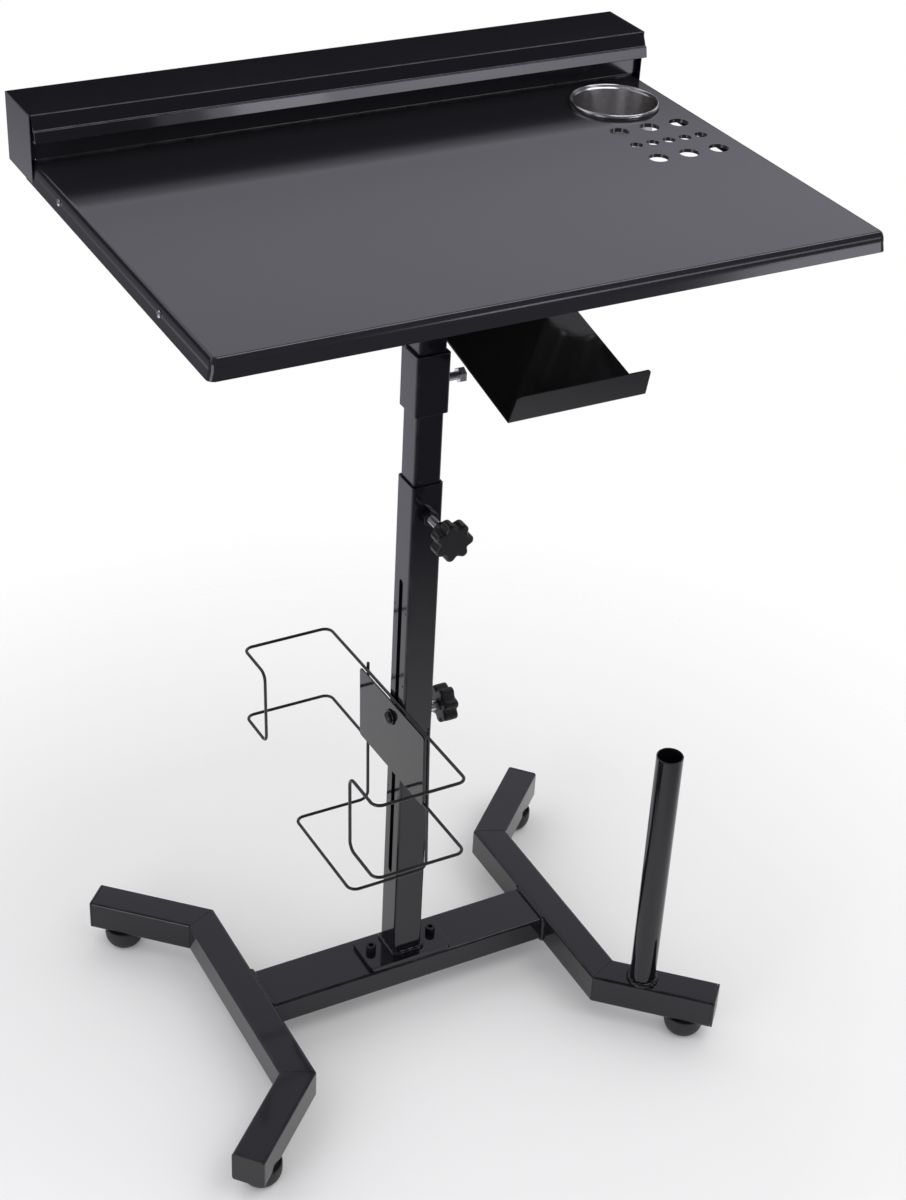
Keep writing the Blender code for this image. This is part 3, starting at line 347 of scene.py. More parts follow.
    @classmethod
    def wire(cls, name: str, corners: Sequence[Point], radius: float, bend: float,
             closed: bool) -> "Workpiece":
        """Runs a round section through corners, with a spin at each bend.

        Args:
            name: The piece's name.
            corners: Where the straight runs would meet.
            radius: The wire's radius.
            bend: The radius of its middle line at a bend.
            closed: Whether the last run goes back to the start.

        Returns:
            The closed wire.
        """
        path = [Vector(corner) for corner in corners]
        if closed:
            start = (path[0] + path[-1]) / 2
            path = [start, *path, start]
        here = path[0]
        work = cls.ring(name, radius, here, path[1] - path[0], WIRE_SIDES, filled=not closed)
        for before, corner, after in zip(path, path[1:], path[2:]):
            arriving = (corner - before).normalized()
            leaving = (after - corner).normalized()
            turn = arriving.angle(leaving)
            setback = bend * math.tan(turn / 2)
            axis = arriving.cross(leaving).normalized()
            work.extrude(corner - arriving * setback - here)
            centre = corner - arriving * setback + axis.cross(arriving) * bend
            bpy.ops.mesh.spin(steps=BEND_STEPS, angle=-turn, center=centre, axis=axis)
            here = corner + leaving * setback
        work.extrude(path[-1] - here)
        if closed:
            bpy.ops.mesh.select_all(action="SELECT")
            bpy.ops.mesh.remove_doubles(threshold=0.00002)
        else:
            bpy.ops.mesh.select_mode(type="EDGE")
            bpy.ops.mesh.edge_face_add()
        return work.face_out()

    @classmethod
    def bead(cls, name: str, path: Sequence[Point], axis: Way, radius: float,
             ripple: float) -> "Workpiece":
        """A weld bead along a closed path across an axis, swelling and shrinking from step to step.

        Args:
            name: The piece's name.
            path: The points of its middle line, the last next to the first.
            axis: The axis that the path goes round.
            radius: The bead's mean radius.
            ripple: The share of the radius by which it swells and shrinks.

        Returns:
            The closed bead.
        """
        points = [Vector(point) for point in path]
        count = len(points)
        heading = points[1] - points[-1]
        work = cls.ring(name, radius, points[0], heading, BEAD_SIDES)
        size = 1.0
        for index in range(1, count + 1):
            here = points[index % count]
            after = points[(index + 1) % count] - points[index - 1]
            work.extrude(here - points[index - 1])
            turn = math.atan2(axis.line.dot(heading.cross(after)), heading.dot(after))
            bpy.ops.transform.rotate(value=-turn, orient_axis="Z" if axis is Way.UP else "X",
                                     orient_type="GLOBAL", center_override=here)
            heading = after
            swell = ripple * math.sin(index * BEAD_WAVES[0]) * math.cos(index * BEAD_WAVES[1])
            target = 1.0 if index == count else 1.0 + swell
            work.scale(target / size, here)
            size = target
        bpy.ops.mesh.select_all(action="SELECT")
        bpy.ops.mesh.remove_doubles(threshold=0.00005)
        return work.face_out()

    @classmethod
    def hexagon(cls, name: str, across: float, foot: Point, axis: Way, height: float,
                bore: float) -> "Workpiece":
        """A hexagonal nut or bolt head with broken corners.

        Args:
            name: The piece's name.
            across: Its size across flats.
            foot: The middle of the face that it starts from.
            axis: The direction of its height.
            height: Its height.
            bore: The radius of its hole, or 0 for none.

        Returns:
            The nut or head.
        """
        work = cls.ring(name, across / math.sqrt(3), foot, axis.value, 6, filled=True)
        work.extrude(axis.line * height).face_out()
        work.pick(Element.EDGE, lambda edge: abs(turned_by(edge) - QUARTER_TURN) < 0.1)
        work.bevel(across * 0.05, 3)
        work.pick(Element.EDGE, lambda edge: runs_along(axis.value)(edge) and turned_by(edge) > 0.8)
        work.bevel(across * 0.02, 2)
        if bore:
            work.cut(cls.rod("bore", bore, Vector(foot) - axis.line * height, axis, 3 * height))
        return work

    @classmethod
    def rod(cls, name: str, radius: float, foot: Point, axis: Way, length: float) -> "Workpiece":
        """A plain round bar, for cutting bores."""
        work = cls.ring(name, radius, foot, axis.value, 32, filled=True)
        return work.extrude(axis.line * length).face_out()

    @classmethod
    def plate(cls, name: str, low: Point, high: Point, across: Way, corner: float,
              rim: float) -> "Workpiece":
        """A flat plate with rounded corners and softened rims.

        Args:
            name: The piece's name.
            low: Its lowest corner.
            high: Its highest corner.
            across: The direction of its thickness.
            corner: The radius of its corners.
            rim: The rounding of its rims.

        Returns:
            The plate.
        """
        work = cls.block(name, low, high)
        work.pick(Element.EDGE, runs_along(across.value)).bevel(corner, 5)
        work.pick(Element.EDGE, lambda edge: turned_by(edge) > CORNER_TURN)
        return work.bevel(rim, 2)

    def pick(self, element: Element, test: Test) -> "Workpiece":
        """Selects the elements that pass a test, and nothing else.

        Args:
            element: What the selection is made of.
            test: Tells which elements are wanted.

        Returns:
            The workpiece.
        """
        bpy.ops.mesh.select_mode(type=element.value)
        bpy.ops.mesh.select_all(action="DESELECT")
        shape = bmesh.from_edit_mesh(self.piece.data)
        shape.normal_update()
        parts = {Element.VERT: shape.verts, Element.EDGE: shape.edges, Element.FACE: shape.faces}[element]
        for part in parts:
            if test(part):
                part.select_set(True)
        shape.select_flush_mode()
        bmesh.update_edit_mesh(self.piece.data)
        return self

    def bevel(self, width: float, segments: int = 3) -> "Workpiece":
        """Rounds the selected edges."""
        bpy.ops.mesh.bevel(offset=width, offset_type="OFFSET", segments=segments, profile=0.5,
                           affect="EDGES")
        return self

    def inset(self, thickness: float, depth: float = 0.0) -> "Workpiece":
        """Insets the selected faces."""
        bpy.ops.mesh.inset(thickness=thickness, depth=depth, use_even_offset=True)
        return self

    def extrude(self, offset: Point) -> "Workpiece":
        """Extrudes the selection by an offset."""
        bpy.ops.mesh.extrude_region_move(TRANSFORM_OT_translate={"value": tuple(offset)})
        return self

    def scale(self, factor: float, centre: Point) -> "Workpiece":
        """Scales the selection about a centre.

        Args:
            factor: The new size over the old one.
            centre: The point that stays.

        Returns:
            The workpiece.
        """
        if abs(factor - 1.0) > 1e-6:
            bpy.ops.transform.resize(value=(factor,) * 3, center_override=centre)
        return self

    def drop_faces(self) -> "Workpiece":
        """Deletes the selected faces."""
        bpy.ops.mesh.delete(type="FACE")
        return self

    def mitre(self, place: Point, normal: Point) -> "Workpiece":
        """Cuts off what lies past a plane and closes the cut.

        Args:
            place: A point of the plane.
            normal: The side that is cut off.

        Returns:
            The workpiece.
        """
        bpy.ops.mesh.select_mode(type="FACE")
        bpy.ops.mesh.select_all(action="SELECT")
        bpy.ops.mesh.bisect(plane_co=place, plane_no=normal, clear_outer=True, use_fill=True)
        return self

    def hollow(self, line: Point, wall: float, rim: float) -> "Workpiece":
        """Opens a solid bar into a tube from end to end and rounds its rims.

        Args:
            line: The direction of the bar.
            wall: The thickness of the wall that stays.
            rim: The rounding of the rims.

        Returns:
            The workpiece.
        """
        self.pick(Element.FACE, lambda face: abs(face.normal.dot(Vector(line))) > 0.5
                  and len(face.verts) > 8)
        self.inset(wall)
        bpy.ops.mesh.bridge_edge_loops()
        self.pick(Element.EDGE, lambda edge: turned_by(edge) > 0.8)
        return self.bevel(rim, 2)

    def face_out(self) -> "Workpiece":
        """Turns all faces outwards.

        Returns:
            The workpiece.
        """
        bpy.ops.mesh.select_all(action="SELECT")
        bpy.ops.mesh.normals_make_consistent(inside=False)
        return self

    def thicken(self, thickness: float, outside: Point) -> "Workpiece":
        """Gives an open sheet its thickness, away from the side that looks along a direction.

        Args:
            thickness: The sheet's thickness.
            outside: Where the side that keeps its place looks.

        Returns:
            The workpiece.
        """
        self.face_out()
        shape = bmesh.from_edit_mesh(self.piece.data)
        lookers = [face.normal.dot(Vector(outside)) * face.calc_area() for face in shape.faces]
        if max(lookers, key=abs) < 0:
            bpy.ops.mesh.flip_normals()
        return self.apply("SOLIDIFY", thickness=thickness, offset=-1.0, use_even_offset=True)

    def apply(self, kind: str, **settings: Any) -> "Workpiece":
        """Adds a modifier and applies it.

        Args:
            kind: The modifier's type.
            settings: Its properties.

        Returns:
            The workpiece.
        """
        self.alone()
        modifier = self.piece.modifiers.new(kind.lower(), kind)
        for key, value in settings.items():
            setattr(modifier, key, value)
        bpy.ops.object.modifier_apply(modifier=modifier.name)
        bpy.ops.object.mode_set(mode="EDIT")
        return self

    def cut(self, *cutters: "Workpiece") -> "Workpiece":
        """Cuts other workpieces out of this one and removes them.

        Args:
            cutters: What is cut out.

        Returns:
            The workpiece.
        """
        clear_selection()
        for cutter in cutters:
            cutter.piece.select_set(True)
        bpy.context.view_layer.objects.active = cutters[0].piece
        if len(cutters) > 1:
            bpy.ops.object.join()
        self.apply("BOOLEAN", operation="DIFFERENCE", solver="EXACT", object=cutters[0].piece)
        bpy.data.objects.remove(cutters[0].piece)
        return self

    def settle(self, place: Matrix) -> "Workpiece":
        """Carries the whole mesh to a place and applies it.

        Args:
            place: The matrix that carries it.

        Returns:
            The workpiece.
        """
        self.alone()
        self.piece.matrix_world = place
        bpy.ops.object.transform_apply(location=True, rotation=True, scale=True)
        bpy.ops.object.mode_set(mode="EDIT")
        return self

    def alone(self) -> None:
        """Leaves edit mode with only this piece selected and active."""
        clear_selection()
        self.piece.select_set(True)
        bpy.context.view_layer.objects.active = self.piece

    def discard(self) -> None:
        """Removes a pattern once its copies are placed."""
        clear_selection()
        bpy.data.objects.remove(self.piece)

    def copy(self, name: str, offset: Matrix) -> "Workpiece":
        """A copy with its own mesh, carried by a matrix.

        Args:
            name: The copy's name.
            offset: The matrix that carries it.

        Returns:
            The copy.
        """
        self.alone()
        bpy.ops.object.duplicate(linked=False)
        twin = Workpiece(name)
        return twin.settle(offset)

    def mark_roundings(self) -> None:
        """Marks the narrow faces, which round an edge off, for the edge wear and the painted edge highlight.
        """
        mesh = self.piece.data
        marks = mesh.attributes.new(ROUNDING, "FLOAT", "FACE")
        for face in mesh.polygons:
            corners = [mesh.vertices[index].co for index in face.vertices]
            sides = zip(corners, corners[1:] + corners[:1])
            longest = max((after - before).length for before, after in sides)
            marks.data[face.index].value = max(0.0, 1.0 - face.area / longest / WIDEST_ROUNDING)

    def dress(self, finish: "Finish", body: str, slot: Slot, *nodes: str,
              angle: float = 32.0) -> "Workpiece":
        """Smooths, paints and sets the piece on its body, in place of CAD nodes.

        Args:
            finish: The surface's finish.
            body: The CAD body that the piece rides on.
            slot: The material slot; not used.
            nodes: The CAD nodes that it stands for.
            angle: Edges sharper than this, in degrees, stay sharp.

        Returns:
            The workpiece, out of edit mode.
        """
        self.alone()
        bpy.ops.object.shade_smooth_by_angle(angle=math.radians(angle))
        normals = self.piece.modifiers.new("normals", "WEIGHTED_NORMAL")
        normals.keep_sharp = True
        normals.weight = 80
        bpy.ops.object.modifier_apply(modifier=normals.name)
        self.mark_roundings()
        self.piece.data.materials.clear()
        self.piece.data.materials.append(finish.material())
        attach(self.piece, body)
        if nodes:
            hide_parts(*nodes)
        LOG.info("%s rides on %s, %d faces", self.piece.name, body, len(self.piece.data.polygons))
        return self


class Graph:
    """Adds nodes to one tree and links them."""

    def __init__(self, tree: bpy.types.NodeTree) -> None:
        """Works on a tree."""
        self.tree = tree

    def add(self, kind: str, **settings: Any) -> bpy.types.Node:
        """A node of a kind, with its properties set.

        Args:
            kind: The node's type.
            settings: Its properties.

        Returns:
            The new node.
        """
        node = self.tree.nodes.new(kind)
        for key, value in settings.items():
            setattr(node, key, value)
        return node

    def feed(self, source: bpy.types.NodeSocket, node: bpy.types.Node, socket: str | int) -> None:
        """Links an output to a node's input."""
        self.tree.links.new(source, node.inputs[socket])

    def give(self, value: Any, node: bpy.types.Node, socket: str | int) -> None:
        """Links a socket to a node's input, or sets a plain value there.

        Args:
            value: The output or the value.
            node: The node that takes it.
            socket: The input's name or number.
        """
        if isinstance(value, bpy.types.NodeSocket):
            self.feed(value, node, socket)
        else:
            node.inputs[socket].default_value = value

    def noise(self, vector: bpy.types.NodeSocket, scale: Any, detail: float,
              roughness: float = 0.5) -> bpy.types.NodeSocket:
        """A noise pattern.

        Args:
            vector: Where the pattern is read.
            scale: Its scale, a value or an output.
            detail: The number of its finer layers.
            roughness: How strong the finer layers are.

        Returns:
            The pattern's value.
        """
        node = self.add("ShaderNodeTexNoise")
        self.feed(vector, node, "Vector")
        self.give(scale, node, "Scale")
        node.inputs["Detail"].default_value = detail
        node.inputs["Roughness"].default_value = roughness
        return node.outputs["Fac"]

    def sum(self, kind: str, first: Any, second: Any) -> bpy.types.NodeSocket:
        """A Math node on two values or outputs.

        Args:
            kind: The node's operation.
            first: The first value or output.
            second: The second one.

        Returns:
            The result.
        """
        node = self.add("ShaderNodeMath", operation=kind)
        self.give(first, node, 0)
        self.give(second, node, 1)
        return node.outputs[0]

    def spread(self, source: bpy.types.NodeSocket, low: float, high: float, to_low: float,
               to_high: float) -> bpy.types.NodeSocket:
        """A Map Range of a value, clamped.

        Args:
            source: The value.
            low: Where its range starts.
            high: Where its range ends.
            to_low: What the start becomes.
            to_high: What the end becomes.

        Returns:
            The result.
        """
        node = self.add("ShaderNodeMapRange")
        self.feed(source, node, "Value")
        for name, value in (("From Min", low), ("From Max", high), ("To Min", to_low), ("To Max", to_high)):
            node.inputs[name].default_value = value
        return node.outputs["Result"]

    def mix(self, mask: bpy.types.NodeSocket, first: Any, second: Any) -> bpy.types.NodeSocket:
        """A mix of two values by a mask.

        Args:
            mask: The share of the second.
            first: The first value or output.
            second: The second one.

        Returns:
            The mixed value.
        """
        node = self.add("ShaderNodeMix", data_type="FLOAT")
        self.feed(mask, node, 0)
        self.give(first, node, 2)
        self.give(second, node, 3)
        return node.outputs[0]

    def blend(self, mask: bpy.types.NodeSocket, first: Any, second: Any) -> bpy.types.NodeSocket:
        """A mix of two colours by a mask.

        Args:
            mask: The share of the second.
            first: The first colour or output.
            second: The second one.

        Returns:
            The mixed colour.
        """
        node = self.add("ShaderNodeMix", data_type="RGBA")
        self.feed(mask, node, 0)
        for index, value in ((6, first), (7, second)):
            self.give(value if isinstance(value, bpy.types.NodeSocket) else (*value, 1.0), node, index)
        return node.outputs[2]


class Effect(Enum):
    """The shared shader groups."""

    PEEL = "paint_peel"
    MARKS = "handling_marks"
    WEAR = "edge_wear"
    DUST = "settled_dust"
    BRUSH = "turned_brushing"


def new_group(effect: Effect, inputs: dict[str, float], outputs: Sequence[str]) -> tuple[Graph, Any, Any]:
    """An empty group with a Vector input, named values and named outputs.

    Args:
        effect: The group's name.
        inputs: The values that it takes, each with its default.
        outputs: The names of what it puts out.

    Returns:
        The group's graph, its input node and its output node.
    """
    tree = bpy.data.node_groups.new(effect.value, "ShaderNodeTree")
    tree.interface.new_socket("Vector", in_out="INPUT", socket_type="NodeSocketVector")
    for name, value in inputs.items():
        socket = tree.interface.new_socket(name, in_out="INPUT", socket_type="NodeSocketFloat")
        socket.default_value = value
    for name in outputs:
        tree.interface.new_socket(name, in_out="OUTPUT", socket_type="NodeSocketFloat")
    graph = Graph(tree)
    return graph, graph.add("NodeGroupInput"), graph.add("NodeGroupOutput")


def peel_group() -> None:
    """Paint's faint waviness with a finer tooth: a Height."""
    graph, given, made = new_group(Effect.PEEL, {"Scale": 300.0, "Tooth": 0.3}, ["Height"])
    wave = graph.noise(given.outputs["Vector"], given.outputs["Scale"], 1.5)
    finer = graph.sum("MULTIPLY", given.outputs["Scale"], 7.0)
    tooth = graph.noise(given.outputs["Vector"], finer, 2.0)
    fine = graph.sum("MULTIPLY", tooth, given.outputs["Tooth"])
    graph.feed(graph.sum("ADD", wave, fine), made, "Height")


def marks_group() -> None:
    """Cloudy rub marks and thin scratches: a Mask from 0 to 1."""
    graph, given, made = new_group(Effect.MARKS, {"Scale": 9.0, "Scratches": 0.5}, ["Mask"])
    cloud = graph.noise(given.outputs["Vector"], given.outputs["Scale"], 5.0)
    rubbed = graph.spread(cloud, 0.45, 0.75, 0.0, 0.6)
    turn = graph.add("ShaderNodeMapping")
    turn.inputs["Rotation"].default_value = (0.5, 0.9, 0.6)
    turn.inputs["Scale"].default_value = (1.0, 22.0, 22.0)
    graph.feed(given.outputs["Vector"], turn, "Vector")
    hair = graph.noise(turn.outputs["Vector"], given.outputs["Scale"], 3.0)
    lines = graph.spread(hair, 0.68, 0.74, 0.0, 1.0)
    scratched = graph.sum("MULTIPLY", lines, given.outputs["Scratches"])
    graph.feed(graph.sum("ADD", rubbed, scratched), made, "Mask")


def wear_and_highlight_group() -> None:
    """Where convex edges are lightened in broken dashes, partly paint rubbed thin and partly a painted
    highlight: a Mask from 0 to 1.
    """
    graph, given, made = new_group(Effect.WEAR, {"Amount": 0.5, "Scale": 60.0}, ["Mask"])
    # Rounded edges are lightened: partly wear, partly a painted highlight along the edges.
    edges = graph.add("ShaderNodeAttribute", attribute_name=ROUNDING).outputs["Fac"]
    patch = graph.noise(given.outputs["Vector"], given.outputs["Scale"], 4.0)
    broken = graph.sum("MULTIPLY", edges, graph.spread(patch, 0.4, 0.65, 0.0, 1.0))
    graph.feed(graph.sum("MULTIPLY", broken, given.outputs["Amount"]), made, "Mask")


def dust_group() -> None:
    """A thin film of dust on what looks up: a Mask from 0 to 1."""
    graph, given, made = new_group(Effect.DUST, {"Amount": 0.1, "Scale": 420.0}, ["Mask"])
    shape = graph.add("ShaderNodeNewGeometry")
    parts = graph.add("ShaderNodeSeparateXYZ")
    graph.feed(shape.outputs["Normal"], parts, 0)
    upward = graph.spread(parts.outputs["Z"], 0.6, 1.0, 0.0, 1.0)
    specks = graph.noise(given.outputs["Vector"], given.outputs["Scale"], 3.0, roughness=0.7)
    lying = graph.sum("MULTIPLY", upward, graph.spread(specks, 0.42, 0.8, 0.0, 1.0))
    graph.feed(graph.sum("MULTIPLY", lying, given.outputs["Amount"]), made, "Mask")


def brush_group() -> None:
    """Fine rings left by turning and polishing round the Z axis: a Value from 0 to 1."""
    graph, given, made = new_group(Effect.BRUSH, {"Rings": 3000.0, "Length": 6.0}, ["Value"])
    parts = graph.add("ShaderNodeSeparateXYZ")
    graph.feed(given.outputs["Vector"], parts, 0)
    angle = graph.sum("ARCTAN2", parts.outputs["Y"], parts.outputs["X"])
    squares = graph.sum("ADD", graph.sum("MULTIPLY", parts.outputs["X"], parts.outputs["X"]),
                        graph.sum("MULTIPLY", parts.outputs["Y"], parts.outputs["Y"]))
    radius = graph.sum("SQRT", squares, 0.0)
    across = graph.sum("MULTIPLY", graph.sum("ADD", parts.outputs["Z"], radius), given.outputs["Rings"])
    joined = graph.add("ShaderNodeCombineXYZ")
    graph.feed(across, joined, "X")
    around = graph.sum("MULTIPLY", graph.sum("ABSOLUTE", angle, 0.0), given.outputs["Length"])
    graph.feed(around, joined, "Y")
    graph.feed(graph.noise(joined.outputs["Vector"], 1.0, 3.0), made, "Value")


@dataclass(frozen=True)
class Finish:
    """A surface: its colour, gloss and the shared effects laid over it."""

    name: str
    colour: tuple[float, float, float]
    roughness: float
    metallic: float = 0.0
    peel_scale: float = 300.0
    peel_tooth: float = 0.3
    peel_height: float = 0.00002
    marks: float = 0.08
    marks_scale: float = 9.0
    scratches: float = 0.5
    wear: float = 0.3
    worn_and_highlight_colour: tuple[float, float, float] = (0.10, 0.10, 0.11)
    dust: float = 0.006
    dust_colour: tuple[float, float, float] = (0.30, 0.29, 0.27)
    centre: tuple[float, float, float] = (0.0, 0.0, 0.0)
    rings: float = 0.0
    anisotropy: float = 0.0

    def material(self) -> bpy.types.Material:
        """The finish as a material, made once."""
        return bpy.data.materials.get(self.name) or self.build()

    def build(self) -> bpy.types.Material:
        """Builds the material's nodes.

        Returns:
            The new material.
        """
        material = bpy.data.materials.new(self.name)
        material.use_nodes = True
        graph = Graph(material.node_tree)
        shader = material.node_tree.nodes["Principled BSDF"]
        shader.inputs["Metallic"].default_value = self.metallic
        place = graph.add("ShaderNodeMapping", vector_type="POINT")
        place.inputs["Location"].default_value = [-value for value in self.centre]
        graph.feed(graph.add("ShaderNodeTexCoord").outputs["Object"], place, "Vector")
        vector = place.outputs["Vector"]
        wear = self.effect(graph, Effect.WEAR, vector, Amount=self.wear)
        dust = self.effect(graph, Effect.DUST, vector, Amount=self.dust)
        marks = self.effect(graph, Effect.MARKS, vector, Scale=self.marks_scale, Scratches=self.scratches)
        # The worn colour on rounded edges is partly wear and partly a painted highlight along the edges.
        painted = graph.blend(wear.outputs["Mask"], self.colour, self.worn_and_highlight_colour)
        graph.feed(graph.blend(dust.outputs["Mask"], painted, self.dust_colour), shader, "Base Color")
        rough = graph.spread(marks.outputs["Mask"], 0.0, 1.0, self.roughness, self.roughness + self.marks)
        peel = self.effect(graph, Effect.PEEL, vector, Scale=self.peel_scale, Tooth=self.peel_tooth)
        height = peel.outputs["Height"]
        if self.rings:
            brush = self.effect(graph, Effect.BRUSH, vector, Rings=self.rings)
            rough = graph.sum("ADD", rough, graph.spread(brush.outputs["Value"], 0.3, 0.7, -0.02, 0.03))
            height = graph.sum("ADD", height, brush.outputs["Value"])
        if self.anisotropy:
            shader.inputs["Anisotropic"].default_value = self.anisotropy
            shader.inputs["Anisotropic Rotation"].default_value = 0.25
            tangent = graph.add("ShaderNodeTangent", direction_type="RADIAL", axis="Z")
            graph.feed(tangent.outputs["Tangent"], shader, "Tangent")
        dusty = graph.sum("MULTIPLY", dust.outputs["Mask"], 0.5)
        graph.feed(graph.sum("ADD", rough, dusty), shader, "Roughness")
        bump = graph.add("ShaderNodeBump")
        bump.inputs["Strength"].default_value = 1.0
        bump.inputs["Distance"].default_value = self.peel_height
        graph.feed(height, bump, "Height")
        graph.feed(bump.outputs["Normal"], shader, "Normal")
        return material

    @staticmethod
    def effect(graph: Graph, effect: Effect, vector: bpy.types.NodeSocket,
               **values: float) -> bpy.types.Node:
        """Places a shared group with its own values.

        Args:
            graph: The material's graph.
            effect: The group.
            vector: Where its patterns are read.
            values: Its other inputs.

        Returns:
            The group's node.
        """
        node = graph.add("ShaderNodeGroup", node_tree=bpy.data.node_groups[effect.value])
        graph.feed(vector, node, "Vector")
        for name, value in values.items():
            node.inputs[name].default_value = value
        return node


CUP_LOW, CUP_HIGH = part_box("rinse_cup")
CUP_AXIS = (CUP_LOW + CUP_HIGH) / 2
TRAY_PAINT = Finish("tray_paint", (0.0118, 0.0120, 0.0150), 0.145, peel_height=0.000006, marks=0.004,
                    wear=0.25, marks_scale=5.0, scratches=0.2)
RISER_PAINT = Finish("riser_paint", (0.0055, 0.0055, 0.0078), 0.06, peel_height=0.000003, marks=0.01,
                     wear=0.25)
# The shelf's black is lighter than the other black paint: painted light against the shade under the tray.
SHELF_PAINT_LIGHTENED_AGAINST_SHADE = Finish("shelf_paint", (0.0110, 0.0109, 0.0118), 0.07, peel_height=0.000003, marks=0.03,
                     wear=0.25)
# Raised edge wear here also gives a painted highlight along the tubes' rounded edges.
TUBE_PAINT = Finish("tube_paint", (0.0052, 0.0050, 0.0075), 0.09, peel_height=0.000006, marks=0.03,
                    marks_scale=14.0, wear=0.35)
WELD_PAINT = Finish("weld_paint", (0.0060, 0.0060, 0.0068), 0.10, peel_scale=420.0, peel_height=0.00014,
                    wear=0.0)
WIRE_COAT = Finish("wire_coat", (0.010, 0.010, 0.010), 0.20, peel_scale=700.0, peel_height=0.00003,
                   dust=0.0)
MOULDED = Finish("moulded_plastic", (0.0068, 0.0067, 0.0080), 0.29, peel_scale=900.0, peel_tooth=0.8,
                 peel_height=0.00004, worn_and_highlight_colour=(0.03, 0.03, 0.03), dust=0.008)
RUBBER = Finish("foot_rubber", (0.010, 0.010, 0.011), 0.55, peel_scale=1200.0, peel_tooth=1.0,
                peel_height=0.00006, worn_and_highlight_colour=(0.03, 0.03, 0.03), dust=0.05)
OXIDE = Finish("black_oxide", (0.030, 0.030, 0.032), 0.30, metallic=0.85, peel_scale=900.0,
               worn_and_highlight_colour=(0.20, 0.20, 0.21), dust=0.0)
ZINC = Finish("bright_zinc", (0.72, 0.73, 0.75), 0.20, metallic=1.0, peel_scale=600.0,
              worn_and_highlight_colour=(0.80, 0.80, 0.82), dust=0.0)
STAINLESS = Finish("turned_stainless", (0.64, 0.63, 0.62), 0.24, metallic=1.0, peel_height=0.0000012,
                   marks=0.03, worn_and_highlight_colour=(0.70, 0.69, 0.67), wear=0.0, dust=0.0, centre=tuple(CUP_AXIS),
                   rings=2500.0, anisotropy=0.7)


